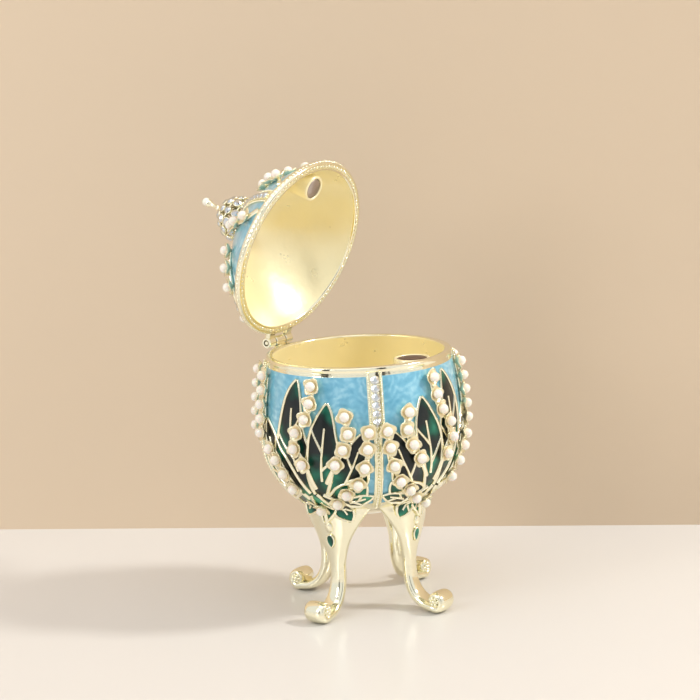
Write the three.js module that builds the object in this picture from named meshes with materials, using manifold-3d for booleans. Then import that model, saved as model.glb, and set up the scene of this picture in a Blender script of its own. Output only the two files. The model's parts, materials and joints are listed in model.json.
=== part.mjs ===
// Jewelled egg trinket box: a gilt cast-metal egg on four scroll legs, with a hinged domed lid.
// Millimetres, +Z up, the floor at z = 0. The hinge is at the back (+Y) and turns about X;
// the lid is shown open. Parts are drawn about the egg's axis with the lid closed and the
// feet standing at floorLevel, and are then moved to the floor. Every piece that is made
// separately is its own mesh.

import * as THREE from "three";
import { mergeVertices } from "three/addons/utils/BufferGeometryUtils.js";
import Module from "manifold-3d";

const wasm = await Module();
wasm.setup();

// ---- driving dimensions -------------------------------------------------------------------

const wall = 1.8;             // thickness of the cast shell
const clearance = 0.3;        // gap between pieces that touch
const floorLevel = 1.1;

// bowl: two half ellipses that meet at the widest height
const girthRadius = 28.3;
const girthHeight = 51;
const bowlBottom = 28;
const rimHeight = 75;
const rimRadius = 26;
const rimBandTall = 2;
const rimBandProud = 0.45;
const bowlSides = 28;

// lid: a rim band and a dome that comes to a blunt point, drawn closed
const lidBase = rimHeight + clearance;
const lidRise = 20;           // from the base plane to the dome's point
const domeLean = 1.3;         // exponents of the dome's profile: nearer 1 is more conical
const domeRound = 1.6;
const lidBandTall = 2;
const lidBandRadius = 26.7;
const lidSides = 28;
const openAngle = 70;

// hinge
const hingeRadius = 1.6;
const hingeBore = 0.9;
const boreLength = 20;
const pinRadius = 0.6;
const hingeY = rimRadius + 3.2;
const hingeZ = rimHeight + 0.85;
const bowlKnuckle = 4.2;
const lidKnuckle = 3;
const knuckleGap = 0.3;
const bracketTall = 5;        // the bowl's bracket, its top level with the rim
const earReach = 4.4;         // the lid's ears, from the hinge's axis in to the band
const earTall = 1.7;

// legs: a shield that hugs the bowl's foot, a slim ankle and a scroll
const legCount = 4;
const legWide = 4.9;          // at the ankle
const shieldWide = 25;        // where the leg meets the bowl
const shieldTop = 33;
const ankleTop = 15;
const legThick = 3.1;
const legSwell = 0.7;         // extra thickness at the shield
const scrollRadius = 24.6;    // from the egg's axis to the middle of the scroll
const scrollOuter = 3.85;
const scrollThick = 2.9;
const scrollWide = 7;
const scrollEye = 1.7;
const eyeProud = 0.4;         // how far the scroll's eye stands out at each side

// magnets
const magnetThick = 1;
const magnetCentre = 18.5;    // from the egg's axis, towards the front
const magnetInset = 0.6;      // from the parting plane to the face of each seat
const bowlMagnetRadius = 4.1;
const lidMagnetRadius = 2.8;
const seatWall = 0.7;         // metal round a magnet
const bowlSeatTall = 2.6;
const shelfWide = 8;
const shelfTall = 1;
const lidPostTall = 12;       // up into the dome

// relief and setting
const leafProud = 0.55;
const bandProud = 0.45;
const bandWidth = 4.4;        // the jewelled strips
const bandFootWidth = 2.6;    // the same strips below the stones
const bandFootHeight = 34;
const bandStoneHeight = 58;
const lidBandWidth = 4;
const lidBandLow = 1.5;       // heights over the lid's base plane
const lidBandHigh = 18.6;
const rootDepth = 0.9;        // how far relief is let into the wall
const pearlRadius = 1.4;
const spraySides = 4;
const pearlStand = leafProud + clearance + 0.05 + pearlRadius;
const stoneWidth = 2.3;
const stoneTall = 1;
const stonePitch = 2.35;
const bowlStones = 6;
const bowlStoneDrop = 2.9;    // from the rim down to the first stone
const lidStones = 10;
const lidStoneLift = 3;       // from the lid's base plane up to the first stone

// crown and finial, heights above the lid's base plane
const crownFoot = lidRise - 0.6;
const crownRingInner = 4.2;
const crownRingOuter = 5.6;
const crownBulge = 5.9;
const crownTop = 30.6;
const crownArches = 6;
const archRadius = 0.85;
const crownRingTall = 1.2;
const stemRadius = 0.7;
const stemCollar = 1.7;
const finialBallRadius = 1.3;
const finialBallHeight = 36.9;

// where the egg's axis stands, so that the origin is the middle of the open box's footprint
const footprintShift = 11.3;

// ---- materials ----------------------------------------------------------------------------

function finish(color, roughness, metalness) {
  return new THREE.MeshStandardMaterial({ color, roughness, metalness });
}
const paleGold = () => finish(0xe6d49a, 0.22, 1);
const magnetSteel = () => finish(0x9a928c, 0.4, 1);
const pearl = () => finish(0xf3e6d2, 0.3, 0);
const crystal = () => finish(0xdfe3e6, 0.08, 0.2);

// ---- solids -------------------------------------------------------------------------------

// a closed three.js geometry as a manifold solid, turned outwards
function solid(geometry) {
  let g = geometry.clone();
  const extras = Object.keys(g.attributes).filter((name) => name !== "position");
  extras.forEach((name) => g.deleteAttribute(name));
  g = mergeVertices(g, 1e-4);
  const p = g.attributes.position;
  const index = Array.from(g.index.array);
  const tris = [];
  let volume = 0;
  const a = new THREE.Vector3();
  const b = new THREE.Vector3();
  const c = new THREE.Vector3();
  for (let i = 0; i < index.length; i += 3) {
    const [u, v, w] = index.slice(i, i + 3);
    if (u !== v && v !== w && w !== u) {
      tris.push([u, v, w]);
      a.fromBufferAttribute(p, u);
      b.fromBufferAttribute(p, v);
      c.fromBufferAttribute(p, w);
      volume += a.dot(b.cross(c));
    }
  }
  const triVerts = new Uint32Array(tris.flatMap((t) => (volume < 0 ? [t[0], t[2], t[1]] : t)));
  const vertProperties = new Float32Array(p.array);
  return new wasm.Manifold(new wasm.Mesh({ numProp: 3, vertProperties, triVerts }));
}

function join(solids) {
  return solids.reduce((sum, s) => sum.add(s));
}

// a bar along X through the hinge, about its own middle x
function hingeBar(radius, length, x, sides) {
  return solid(new THREE.CylinderGeometry(radius, radius, length, sides)
    .rotateZ(Math.PI / 2).translate(x, hingeY, hingeZ));
}

function geometryOf(manifold) {
  const mesh = manifold.getMesh();
  const g = new THREE.BufferGeometry();
  g.setAttribute("position", new THREE.BufferAttribute(new Float32Array(mesh.vertProperties), 3));
  g.setIndex(new THREE.BufferAttribute(new Uint32Array(mesh.triVerts), 1));
  g.computeVertexNormals();
  return g;
}

// a solid of revolution about Z from [radius, height] pairs that start and end on the axis
function turned(profile, sides) {
  const points = profile.map(([r, z]) => new THREE.Vector2(r, z));
  return solid(new THREE.LatheGeometry(points, sides).rotateX(Math.PI / 2));
}

// a solid through rings of points, closed by a fan at each end
function loft(rings) {
  const sides = rings[0].length;
  const positions = rings.flat().flatMap((p) => [p.x, p.y, p.z]);
  const index = [];
  for (let i = 0; i + 1 < rings.length; i++) {
    for (let j = 0; j < sides; j++) {
      const k = (j + 1) % sides;
      const [a, b, c, d] = [i * sides + j, i * sides + k, (i + 1) * sides + k, (i + 1) * sides + j];
      index.push(a, b, c, a, c, d);
    }
  }
  const last = (rings.length - 1) * sides;
  for (let j = 1; j + 1 < sides; j++) {
    index.push(0, j + 1, j);
    index.push(last, last + j, last + j + 1);
  }
  const g = new THREE.BufferGeometry();
  g.setAttribute("position", new THREE.BufferAttribute(new Float32Array(positions), 3));
  g.setIndex(index);
  return solid(g);
}

// ---- surfaces: a place on the egg's skin from an angle in degrees and a height --------------

const radians = THREE.MathUtils.degToRad;

function ellipseRadius(z, middle, reach, radius) {
  return radius * Math.sqrt(Math.max(0, 1 - ((z - middle) / reach) ** 2));
}
const lowerReach = girthHeight - bowlBottom;
const upperReach = (rimHeight - girthHeight) / Math.sqrt(1 - (rimRadius / girthRadius) ** 2);

function bowlRadius(z) {
  return ellipseRadius(z, girthHeight, z < girthHeight ? lowerReach : upperReach, girthRadius);
}

function onBowl(angle, z, proud = 0) {
  const reach = z < girthHeight ? lowerReach : upperReach;
  const r = bowlRadius(z);
  const out = new THREE.Vector2(r / girthRadius ** 2, (z - girthHeight) / reach ** 2).normalize();
  const radial = r + proud * out.x;
  return new THREE.Vector3(
    radial * Math.cos(radians(angle)), radial * Math.sin(radians(angle)), z + proud * out.y);
}

// on the lid, the second number is the height over the lid's base plane
function domeRadius(z, rise, radius) {
  return radius * Math.max(0, 1 - Math.max(0, z / rise) ** domeLean) ** (1 / domeRound);
}

function lidRadius(z) {
  return domeRadius(z, lidRise, rimRadius);
}

function onLid(angle, z, proud = 0) {
  const step = 0.01;
  const slope = (lidRadius(z + step) - lidRadius(z - step)) / (2 * step);
  const out = new THREE.Vector2(1, -slope).normalize();
  const radial = lidRadius(z) + proud * out.x;
  return new THREE.Vector3(
    radial * Math.cos(radians(angle)), radial * Math.sin(radians(angle)),
    lidBase + z + proud * out.y);
}

// a point at a sideways distance from another along the skin
function beside(skin, angle, z, side, proud) {
  const at = skin(angle, z, 0);
  const degrees = THREE.MathUtils.radToDeg(side / Math.hypot(at.x, at.y));
  return skin(angle + degrees, z, proud);
}

// ---- relief -------------------------------------------------------------------------------

// a leaf from its foot to its tip, bowed sideways, widest part way up
const leafSteps = 3;

// a leaf's width along its length, as a share of the widest
function leafShare(t) {
  const foot = 0.12;
  const reach = 0.85;
  const fullness = 0.9;
  return foot + (1 - foot) * Math.sin(Math.PI * (foot + reach * t)) ** fullness;
}

function leaf(skin, { foot, tip, bow, width }) {
  const rings = [];
  for (let i = 0; i <= leafSteps; i++) {
    const t = i / leafSteps;
    const angle = foot[0] + (tip[0] - foot[0]) * t + bow * 4 * t * (1 - t);
    const z = foot[1] + (tip[1] - foot[1]) * t;
    const half = (width / 2) * leafShare(t);
    rings.push([
      beside(skin, angle, z, -half, -rootDepth),
      beside(skin, angle, z, half, -rootDepth),
      beside(skin, angle, z, half, leafProud),
      beside(skin, angle, z, -half, leafProud),
    ]);
  }
  return loft(rings);
}

// a plain raised band that runs up the skin
function band(skin, angle, low, high, widths, steps) {
  const rings = [];
  for (let i = 0; i <= steps; i++) {
    const z = low + ((high - low) * i) / steps;
    const half = widths(z) / 2;
    rings.push([
      beside(skin, angle, z, -half, -rootDepth),
      beside(skin, angle, z, half, -rootDepth),
      beside(skin, angle, z, half, bandProud),
      beside(skin, angle, z, -half, bandProud),
    ]);
  }
  return loft(rings);
}

// heights at even steps along the skin, starting from one height
function evenHeights(skin, start, pitch, count, direction) {
  const heights = [];
  const stride = 0.02;
  let z = start;
  for (let i = 0; i < count; i++) {
    heights.push(z);
    let walked = 0;
    while (walked < pitch) {
      const next = z + direction * stride;
      walked += skin(0, z).distanceTo(skin(0, next));
      z = next;
    }
  }
  return heights;
}

// a row of set stones, each a low frustum that meets the next
function stoneRow(skin, angle, start, count, direction) {
  const heights = evenHeights(skin, start, stonePitch / 2, 2 * count + 1, direction);
  const waist = 0.72;
  const dip = 0.6;
  const table = 0.75;
  const rings = heights.map((z, i) => {
    const middle = i % 2 === 1;
    const half = (middle ? stoneWidth : stoneWidth * waist) / 2;
    const top = bandProud + clearance + (middle ? stoneTall : stoneTall * dip);
    const floor = bandProud + clearance;
    return [
      beside(skin, angle, z, -half, floor),
      beside(skin, angle, z, half, floor),
      beside(skin, angle, z, half * table, top),
      beside(skin, angle, z, -half * table, top),
    ];
  });
  return loft(rings);
}

// along the stem and out from it, in pearl radii
const pearlProfile = [[-0.87, 0.42], [0, 1], [0.87, 0.42]];

// pearls in a line, each a swelling of the stem that carries them
function spray(skin, places) {
  const centres = places.map(([angle, z]) => skin(angle, z, pearlStand));
  const normals = places.map(([angle, z]) => skin(angle, z, 1).sub(skin(angle, z, 0)).normalize());
  const rings = [];
  centres.forEach((centre, i) => {
    const before = centres[Math.max(0, i - 1)];
    const after = centres[Math.min(centres.length - 1, i + 1)];
    const run = after.clone().sub(before);
    if (places.length === 1) run.set(0, 0, 1);
    run.normalize();
    const across = new THREE.Vector3().crossVectors(normals[i], run).normalize();
    const up = new THREE.Vector3().crossVectors(run, across).normalize();
    for (const [shift, size] of pearlProfile) {
      const ring = [];
      for (let j = 0; j < spraySides; j++) {
        const turn = (2 * Math.PI * j) / spraySides;
        ring.push(centre.clone()
          .addScaledVector(run, shift * pearlRadius)
          .addScaledVector(across, size * pearlRadius * Math.cos(turn))
          .addScaledVector(up, size * pearlRadius * Math.sin(turn)));
      }
      rings.push(ring);
    }
  });
  return loft(rings);
}

// ---- the motif of one quarter, angles measured from its leg ---------------------------------

const bowlLeaves = [
  { foot: [8, 38], tip: [-3, 71.5], bow: -7, width: 8.5 },
  { foot: [10, 38], tip: [17, 65.5], bow: -1, width: 7.5 },
  { foot: [13, 37], tip: [35, 57], bow: 4, width: 6.5 },
  { foot: [4, 37], tip: [-31, 58], bow: -4, width: 7.5 },
  { foot: [-3, 34], tip: [-26, 45], bow: -6, width: 6.5 },
  { foot: [5, 34], tip: [33, 42], bow: 7, width: 6.5 },
];
const bowlSprays = [
  [[-34.5, 54.5], [-34, 58.5], [-34.5, 62.5], [-34, 66.5], [-34.5, 70.5]],
  [[-11, 41], [-14, 45], [-18, 48.5], [-23.5, 51]],
  [[2, 48.5], [-3, 52.5], [-1.5, 57], [4.5, 61], [7.5, 65.3], [8.5, 70]],
  [[21.5, 49], [26, 53], [29, 57.3], [27.5, 62]],
  [[18, 37.5], [25.5, 40.5], [33, 43.5], [37, 48], [39, 53], [40, 57.5]],
];
const bowlSinglePearl = [[0, 34.5]];
const lidSprays = [
  [[-26, 5], [-18, 8.5], [-8, 11]],
  [[26, 6], [19, 11], [12, 14.5]],
];

// quarters are centred over the legs, and every other one is a mirror image
function placed(quarter, [angle, z]) {
  return [quarter * 90 + (quarter % 2 ? -angle : angle), z];
}
const quarters = [0, 1, 2, 3];
const stripAngles = quarters.map((q) => q * 90 + 45);

// ---- bowl ---------------------------------------------------------------------------------

function arcOf(radiusAt, from, to, steps, ease) {
  const points = [];
  for (let i = 0; i <= steps; i++) {
    const t = ease(i / steps);
    points.push([radiusAt(from + (to - from) * t), from + (to - from) * t]);
  }
  return points;
}

function bowlOuter() {
  const bandFoot = rimHeight - rimBandTall;
  const lower = arcOf(bowlRadius, bowlBottom, girthHeight, 5, (t) => 1 - Math.cos((t * Math.PI) / 2));
  const upper = arcOf(bowlRadius, girthHeight, bandFoot, 3, (t) => t).slice(1);
  const edge = rimRadius + rimBandProud;
  return turned([...lower, ...upper, [edge, bandFoot], [edge, rimHeight], [0, rimHeight]], bowlSides);
}

function bowlCavity() {
  const radiusAt = (z) => ellipseRadius(
    z, girthHeight, (z < girthHeight ? lowerReach : upperReach) - wall * (z < girthHeight ? 1 : 0),
    girthRadius - wall);
  const floor = bowlBottom + wall;
  const lower = arcOf(radiusAt, floor, girthHeight, 5, (t) => 1 - Math.cos((t * Math.PI) / 2));
  const upper = arcOf(radiusAt, girthHeight, rimHeight + 1, 2, (t) => t).slice(1);
  return turned([...lower, ...upper, [0, rimHeight + 1]], bowlSides);
}

// one leg, towards +X: down from the bowl, out along the floor, then a scroll that curls up
// and back. The scroll's facets are an eighth of a turn, and the lowest lies on the floor.
function leg() {
  const facet = 45;
  const curlFacets = 6;
  const curlTaper = 0.05;
  const flareLate = 1.6;
  const toeFrom = 0.6;
  const middle = scrollOuter - scrollThick / 2;
  const centre = new THREE.Vector2(
    scrollRadius, floorLevel + scrollOuter * Math.cos(radians(facet / 2)));
  const line = [
    [16.5, 33], [16.2, 28.5], [15.6, 23.5], [14.8, 18.5], [14.5, 14], [15, 9.3], [17, 5.4],
    [20.2, 3.2],
  ];
  const upper = new THREE.CatmullRomCurve3(line.map(([x, z]) => new THREE.Vector3(x, 0, z)));
  const stations = [];
  const upperSteps = 7;
  for (let i = 0; i < upperSteps; i++) {
    const t = i / upperSteps;
    const at = upper.getPointAt(t);
    const rise = Math.max(0, (at.z - ankleTop) / (shieldTop - ankleTop));
    const flare = rise ** flareLate;
    const toe = Math.max(0, (t - toeFrom) / (1 - toeFrom));
    stations.push({
      at,
      run: upper.getTangentAt(t),
      wide: legWide + (shieldWide - legWide) * flare + (scrollWide - legWide) * toe,
      thick: legThick + legSwell * flare - (legThick - scrollThick) * toe,
      hug: Math.sqrt(rise),
    });
  }
  for (let i = 0; i <= curlFacets; i++) {
    const turn = radians(-90 + facet * (i - 0.5));
    stations.push({
      at: new THREE.Vector3(
        centre.x + middle * Math.cos(turn), 0, centre.y + middle * Math.sin(turn)),
      run: new THREE.Vector3(-Math.sin(turn), 0, Math.cos(turn)),
      wide: scrollWide,
      thick: scrollThick * (1 - curlTaper * Math.max(0, i - 1)),
      hug: 0,
    });
  }
  const side = new THREE.Vector3(0, 1, 0);
  const section = [
    [1, 0], [0.6, 1], [0, 1], [-0.6, 1], [-1, 0], [-0.6, -1], [0, -1], [0.6, -1],
  ];
  const keel = 0.1;
  // hug is how far the section bends round the egg's axis; where it bends it is also keeled
  const rings = stations.map(({ at, run, wide, thick, hug }) => {
    const up = new THREE.Vector3().crossVectors(run, side).normalize();
    return section.map(([u, v]) => {
      const depth = u === 0 ? thick : thick * (1 - keel * hug);
      const place = at.clone().addScaledVector(up, (v * depth) / 2);
      const across = (u * wide) / 2;
      const turn = (hug * across) / place.x;
      return new THREE.Vector3(
        place.x * Math.cos(turn), place.x * Math.sin(turn) + (1 - hug) * across, place.z);
    });
  });
  const eye = new THREE.CylinderGeometry(scrollEye, scrollEye, scrollWide + 2 * eyeProud, 8)
    .translate(centre.x, 0, centre.y);
  return loft(rings).add(solid(eye));
}

function bowlHinge() {
  const deep = hingeY - rimRadius + rootDepth;
  const bracket = new THREE.BoxGeometry(bowlKnuckle, deep, bracketTall)
    .translate(0, hingeY - deep / 2, rimHeight - bracketTall / 2);
  return hingeBar(hingeRadius, bowlKnuckle, 0, 12).add(solid(bracket));
}

function bore() {
  return hingeBar(hingeBore, boreLength, 0, 10);
}

// an upright post with a pocket in one end, for a magnet; face is the pocketed end's height
function magnetSeat(radius, face, depth) {
  const outside = radius + clearance + seatWall;
  const post = upright(outside, Math.abs(depth), face + depth / 2);
  const pocket = upright(radius + clearance, 2 * (magnetThick + clearance), face);
  return post.subtract(pocket);
}

function upright(radius, tall, middle) {
  return solid(new THREE.CylinderGeometry(radius, radius, tall, 16)
    .rotateX(Math.PI / 2).translate(0, -magnetCentre, middle));
}

// the bowl's seat, on a shelf that carries it in from the wall
function bowlMagnetSeat() {
  const face = rimHeight - magnetInset;
  const reach = rimRadius - wall / 2 - magnetCentre;
  const shelf = new THREE.BoxGeometry(shelfWide, reach, shelfTall)
    .translate(0, -magnetCentre - reach / 2, face - bowlSeatTall + shelfTall / 2);
  return magnetSeat(bowlMagnetRadius, face, -bowlSeatTall).add(solid(shelf));
}

function stripWidth(z) {
  return z < bandStoneHeight ? bandFootWidth : bandWidth;
}

function bowl() {
  const relief = [];
  for (const q of quarters) {
    for (const spec of bowlLeaves) {
      const mirrored = q % 2 ? -1 : 1;
      relief.push(leaf(onBowl, {
        ...spec, foot: placed(q, spec.foot), tip: placed(q, spec.tip), bow: mirrored * spec.bow }));
    }
  }
  for (const angle of stripAngles) {
    relief.push(band(onBowl, angle, bandFootHeight, rimHeight - rimBandTall / 2, stripWidth, 6));
  }
  const legs = [];
  for (let i = 0; i < legCount; i++) legs.push(leg().rotate([0, 0, (360 / legCount) * i]));
  return bowlOuter().add(join(relief)).add(join(legs)).subtract(bowlCavity())
    .add(bowlHinge()).add(bowlMagnetSeat()).subtract(bore());
}

// ---- lid, drawn closed ----------------------------------------------------------------------

function lid() {
  const domeFoot = lidBandTall;
  const outer = arcOf(lidRadius, domeFoot, lidRise, 5, (t) => Math.sin((t * Math.PI) / 2));
  const shell = turned([
    [0, lidBase], [lidBandRadius, lidBase], [lidBandRadius, lidBase + domeFoot],
    ...outer.map(([r, z]) => [r, lidBase + z]),
  ], lidSides);
  const innerRadius = (z) => domeRadius(z, lidRise - wall, rimRadius - wall);
  const inner = arcOf(innerRadius, -1, lidRise - wall, 4, (t) => Math.sin((t * Math.PI) / 2));
  const cavity = turned([[0, lidBase - 1], ...inner.map(([r, z]) => [r, lidBase + z])], lidSides);

  const relief = stripAngles.map(
    (angle) => band(onLid, angle, lidBandLow, lidBandHigh, () => lidBandWidth, 4));
  const post = magnetSeat(lidMagnetRadius, lidBase + magnetInset, lidPostTall).intersect(shell);

  const ears = [];
  for (const side of [-1, 1]) {
    const x = side * (bowlKnuckle / 2 + knuckleGap + lidKnuckle / 2);
    ears.push(hingeBar(hingeRadius, lidKnuckle, x, 12));
    ears.push(solid(new THREE.BoxGeometry(lidKnuckle, earReach, earTall)
      .translate(x, hingeY - earReach / 2, lidBase + earTall / 2)));
  }
  return shell.add(join(relief)).subtract(cavity)
    .add(post)
    .add(join(ears)).subtract(bore());
}

function crown() {
  const ring = new THREE.LatheGeometry([
    [crownRingInner, crownFoot], [crownRingOuter, crownFoot],
    [crownRingOuter, crownFoot + crownRingTall], [crownRingInner, crownFoot + crownRingTall],
    [crownRingInner, crownFoot],
  ].map(([r, z]) => new THREE.Vector2(r, z)), 12).rotateX(Math.PI / 2);
  const section = new THREE.Shape([
    new THREE.Vector2(archRadius, 0), new THREE.Vector2(0, archRadius),
    new THREE.Vector2(-archRadius, 0), new THREE.Vector2(0, -archRadius),
  ]);
  const middle = (crownRingInner + crownRingOuter) / 2;
  const shoulder = 4.4;
  const neck = 8;
  const neckIn = 1.6;
  const path = new THREE.CatmullRomCurve3([
    [middle, crownFoot + crownRingTall / 2], [crownBulge, crownFoot + shoulder],
    [crownBulge - neckIn, crownFoot + neck], [stemRadius, crownTop - stemRadius],
  ].map(([x, z]) => new THREE.Vector3(x, 0, z)));
  const arch = solid(new THREE.ExtrudeGeometry(section, {
    steps: 4, bevelEnabled: false, extrudePath: path }));
  const arches = [];
  for (let i = 0; i < crownArches; i++) arches.push(arch.rotate([0, 0, (360 / crownArches) * i]));
  const stemTop = finialBallHeight - finialBallRadius - clearance;
  const stemFoot = crownTop - stemCollar;
  const cup = finialBallRadius * 0.85;
  const stem = turned([
    [0, stemFoot], [stemCollar * 0.9, stemFoot], [stemCollar, crownTop],
    [stemRadius, crownTop + stemRadius * 1.7], [stemRadius, stemTop - cup], [cup, stemTop],
    [0, stemTop],
  ], 8);
  return join([solid(ring), ...arches, stem]).translate([0, 0, lidBase]);
}

// ---- small pieces ---------------------------------------------------------------------------

// how far a magnet's middle lies inside its seat's face
const magnetSunk = magnetThick / 2 + clearance / 2;

function finialPearl() {
  return solid(new THREE.IcosahedronGeometry(finialBallRadius, 0)
    .translate(0, 0, lidBase + finialBallHeight));
}

function hingePin() {
  const length = bowlKnuckle + 2 * (knuckleGap + lidKnuckle);
  return hingeBar(pinRadius, length, 0, 8);
}

// ---- assembly -------------------------------------------------------------------------------

const box = new THREE.Group();
const base = new THREE.Group();
const lidGroup = new THREE.Group();
box.add(base, lidGroup);
base.position.set(0, -footprintShift, -floorLevel);
lidGroup.position.set(0, hingeY - footprintShift, hingeZ - floorLevel);
lidGroup.rotation.x = -radians(openAngle);

function piece(parent, name, manifold, material) {
  const mesh = new THREE.Mesh(geometryOf(manifold), material);
  mesh.name = name;
  parent.add(mesh);
}
const onBase = (name, manifold, material) => piece(base, name, manifold, material);
const onLidGroup = (name, manifold, material) =>
  piece(lidGroup, name, manifold.translate([0, -hingeY, -hingeZ]), material);

onBase("bowl", bowl(), paleGold());
onBase(
  "bowl_magnet",
  upright(bowlMagnetRadius, magnetThick, rimHeight - magnetInset - magnetSunk),
  magnetSteel());
onBase("hinge_pin", hingePin(), paleGold());
onLidGroup("lid", lid(), paleGold());
onLidGroup(
  "lid_magnet",
  upright(lidMagnetRadius, magnetThick, lidBase + magnetInset + magnetSunk),
  magnetSteel());
onLidGroup("crown", crown(), paleGold());
onLidGroup("finial_pearl", finialPearl(), pearl());

stripAngles.forEach((angle, i) => {
  const bowlRow = stoneRow(onBowl, angle, rimHeight - bowlStoneDrop, bowlStones, -1);
  const lidRow = stoneRow(onLid, angle, lidStoneLift, lidStones, 1);
  onBase(`bowl_stones_${i + 1}`, bowlRow, crystal());
  onLidGroup(`lid_stones_${i + 1}`, lidRow, crystal());
});
for (const q of quarters) {
  const inQuarter = (places) => places.map((place) => placed(q, place));
  bowlSprays.forEach((places, i) => {
    onBase(`bowl_spray_${q + 1}_${i + 1}`, spray(onBowl, inQuarter(places)), pearl());
  });
  onBase(`bowl_pearl_${q + 1}_1`, spray(onBowl, inQuarter(bowlSinglePearl)), pearl());
  lidSprays.forEach((places, i) => {
    onLidGroup(`lid_spray_${q + 1}_${i + 1}`, spray(onLid, inQuarter(places)), pearl());
  });
}

export default box;
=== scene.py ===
import json
import math
import bpy
import numpy as np
from mathutils import Matrix


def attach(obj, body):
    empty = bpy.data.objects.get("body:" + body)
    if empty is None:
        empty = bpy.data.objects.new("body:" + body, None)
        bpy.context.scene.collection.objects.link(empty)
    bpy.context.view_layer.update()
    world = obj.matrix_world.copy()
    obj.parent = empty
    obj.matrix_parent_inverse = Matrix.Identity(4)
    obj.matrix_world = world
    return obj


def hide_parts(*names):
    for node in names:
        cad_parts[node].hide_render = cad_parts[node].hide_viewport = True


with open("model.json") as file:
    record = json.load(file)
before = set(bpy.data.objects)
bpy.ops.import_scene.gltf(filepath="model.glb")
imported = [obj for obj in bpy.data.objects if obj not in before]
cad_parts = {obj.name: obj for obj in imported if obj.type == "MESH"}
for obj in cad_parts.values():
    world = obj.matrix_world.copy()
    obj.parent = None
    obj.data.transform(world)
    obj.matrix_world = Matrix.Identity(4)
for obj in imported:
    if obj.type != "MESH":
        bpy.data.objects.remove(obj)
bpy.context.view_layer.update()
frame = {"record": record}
scene = bpy.context.scene
chance = np.random.default_rng(7)

# The box is drawn in millimetres about the egg's own axis, with the lid closed, and then
# placed: lid pieces are swung open about the hinge and everything is moved to the frame.
egg = {
    "floorLevel": 1.1, "girthRadius": 28.3, "girthHeight": 51.0, "bottom": 28.0, "wall": 1.8,
    "rimRadius": 26.0, "rimHeight": 75.0, "lidGap": 0.3, "lidRise": 20.0,
    "domeLean": 1.3, "domeRound": 1.6, "hingeOut": 29.2, "hingeUp": 0.85, "segments": 192,
}
egg["lidBase"] = egg["rimHeight"] + egg["lidGap"]
egg["lowerReach"] = egg["girthHeight"] - egg["bottom"]
egg["upperReach"] = (egg["rimHeight"] - egg["girthHeight"]) / math.sqrt(
    1 - (egg["rimRadius"] / egg["girthRadius"]) ** 2)

hinge = frame["record"]["behaviour"]["joints"][0]
hingeAt = np.array(hinge["pos_m"]) * 1000
openAngle = math.radians(hinge["range_deg"][1])
axisY = hingeAt[1] - egg["hingeOut"]
up = np.array([0.0, 0.0, 1.0])


# Directions in the drawing to directions in the frame.
def turned(vectors, onLid=False):
    v = np.array(vectors, dtype=float).reshape(-1, 3)
    if onLid:
        c, s = math.cos(openAngle), math.sin(openAngle)
        v = np.stack([v[:, 0], v[:, 1] * c + v[:, 2] * s, v[:, 2] * c - v[:, 1] * s], 1)
    return v


# Millimetres about the egg's axis to metres in the frame.
def inFrame(points, onLid=False):
    p = np.array(points, dtype=float).reshape(-1, 3) + [0, axisY, -egg["floorLevel"]]
    if onLid:
        p = turned(p - hingeAt, True) + hingeAt
    return p / 1000


# Surfaces and curves.

# The lid's dome: its radius at a height over the base plane, and its height at a radius.
def domeRadius(height, rise, radius):
    share = np.clip(np.asarray(height, float) / rise, 0, 1)
    return radius * (1 - share ** egg["domeLean"]) ** (1 / egg["domeRound"])


def domeHeight(out, rise, radius):
    share = np.clip(np.asarray(out, float) / radius, 0, 1)
    return rise * (1 - share ** egg["domeRound"]) ** (1 / egg["domeLean"])


# The outer faces of the legs' shields, as (height, radius).
shieldFace = np.array([(14, 16.05), (18.5, 16.38), (23.5, 17.25), (28.5, 17.97), (33, 18.4)])


# The radius of the lid's dome, of the bowl, or of the bowl and the legs' shields below it.
def skinRadius(part, height):
    z = np.asarray(height, float)
    if part == "lid":
        return domeRadius(z, egg["lidRise"], egg["rimRadius"])
    reach = np.where(z < egg["girthHeight"], egg["lowerReach"], egg["upperReach"])
    share = (z - egg["girthHeight"]) / reach
    radius = egg["girthRadius"] * np.sqrt(np.maximum(0, 1 - share ** 2))
    if part == "shield":
        radius = np.maximum(radius, np.interp(z, shieldFace[:, 0], shieldFace[:, 1]))
    return radius


def baseOf(part):
    return egg["lidBase"] if part == "lid" else 0.0


# A place on the outside: an angle in degrees, a height (over the lid's base for the lid) and
# a distance out along the skin's normal.
def onSkin(part, angle, height, proud=0.0):
    a, z, proud = np.broadcast_arrays(np.radians(angle), np.asarray(height, float), proud)
    step = 0.02
    slope = (skinRadius(part, z + step) - skinRadius(part, z - step)) / (2 * step)
    size = np.hypot(1, slope)
    radial = skinRadius(part, z) + proud / size
    level = baseOf(part) + z - proud * slope / size
    return np.stack([radial * np.cos(a), radial * np.sin(a), level], -1)


def skinNormal(part, angle, height):
    return onSkin(part, angle, height, 1.0) - onSkin(part, angle, height, 0.0)


# The same place moved sideways from a path, with the path's own direction as forwards.
def besidePath(part, path, offset, proud):
    path = np.asarray(path, float)
    at = onSkin(part, path[:, 0], path[:, 1])
    run = np.gradient(at, axis=0)
    side = np.cross(run, skinNormal(part, path[:, 0], path[:, 1]))
    side /= np.linalg.norm(side, axis=1)[:, None] + 1e-12
    moved = at + side * np.asarray(offset, float).reshape(-1, 1)
    angle = np.degrees(np.arctan2(moved[:, 1], moved[:, 0]))
    return onSkin(part, angle, moved[:, 2] - baseOf(part), proud)


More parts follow.
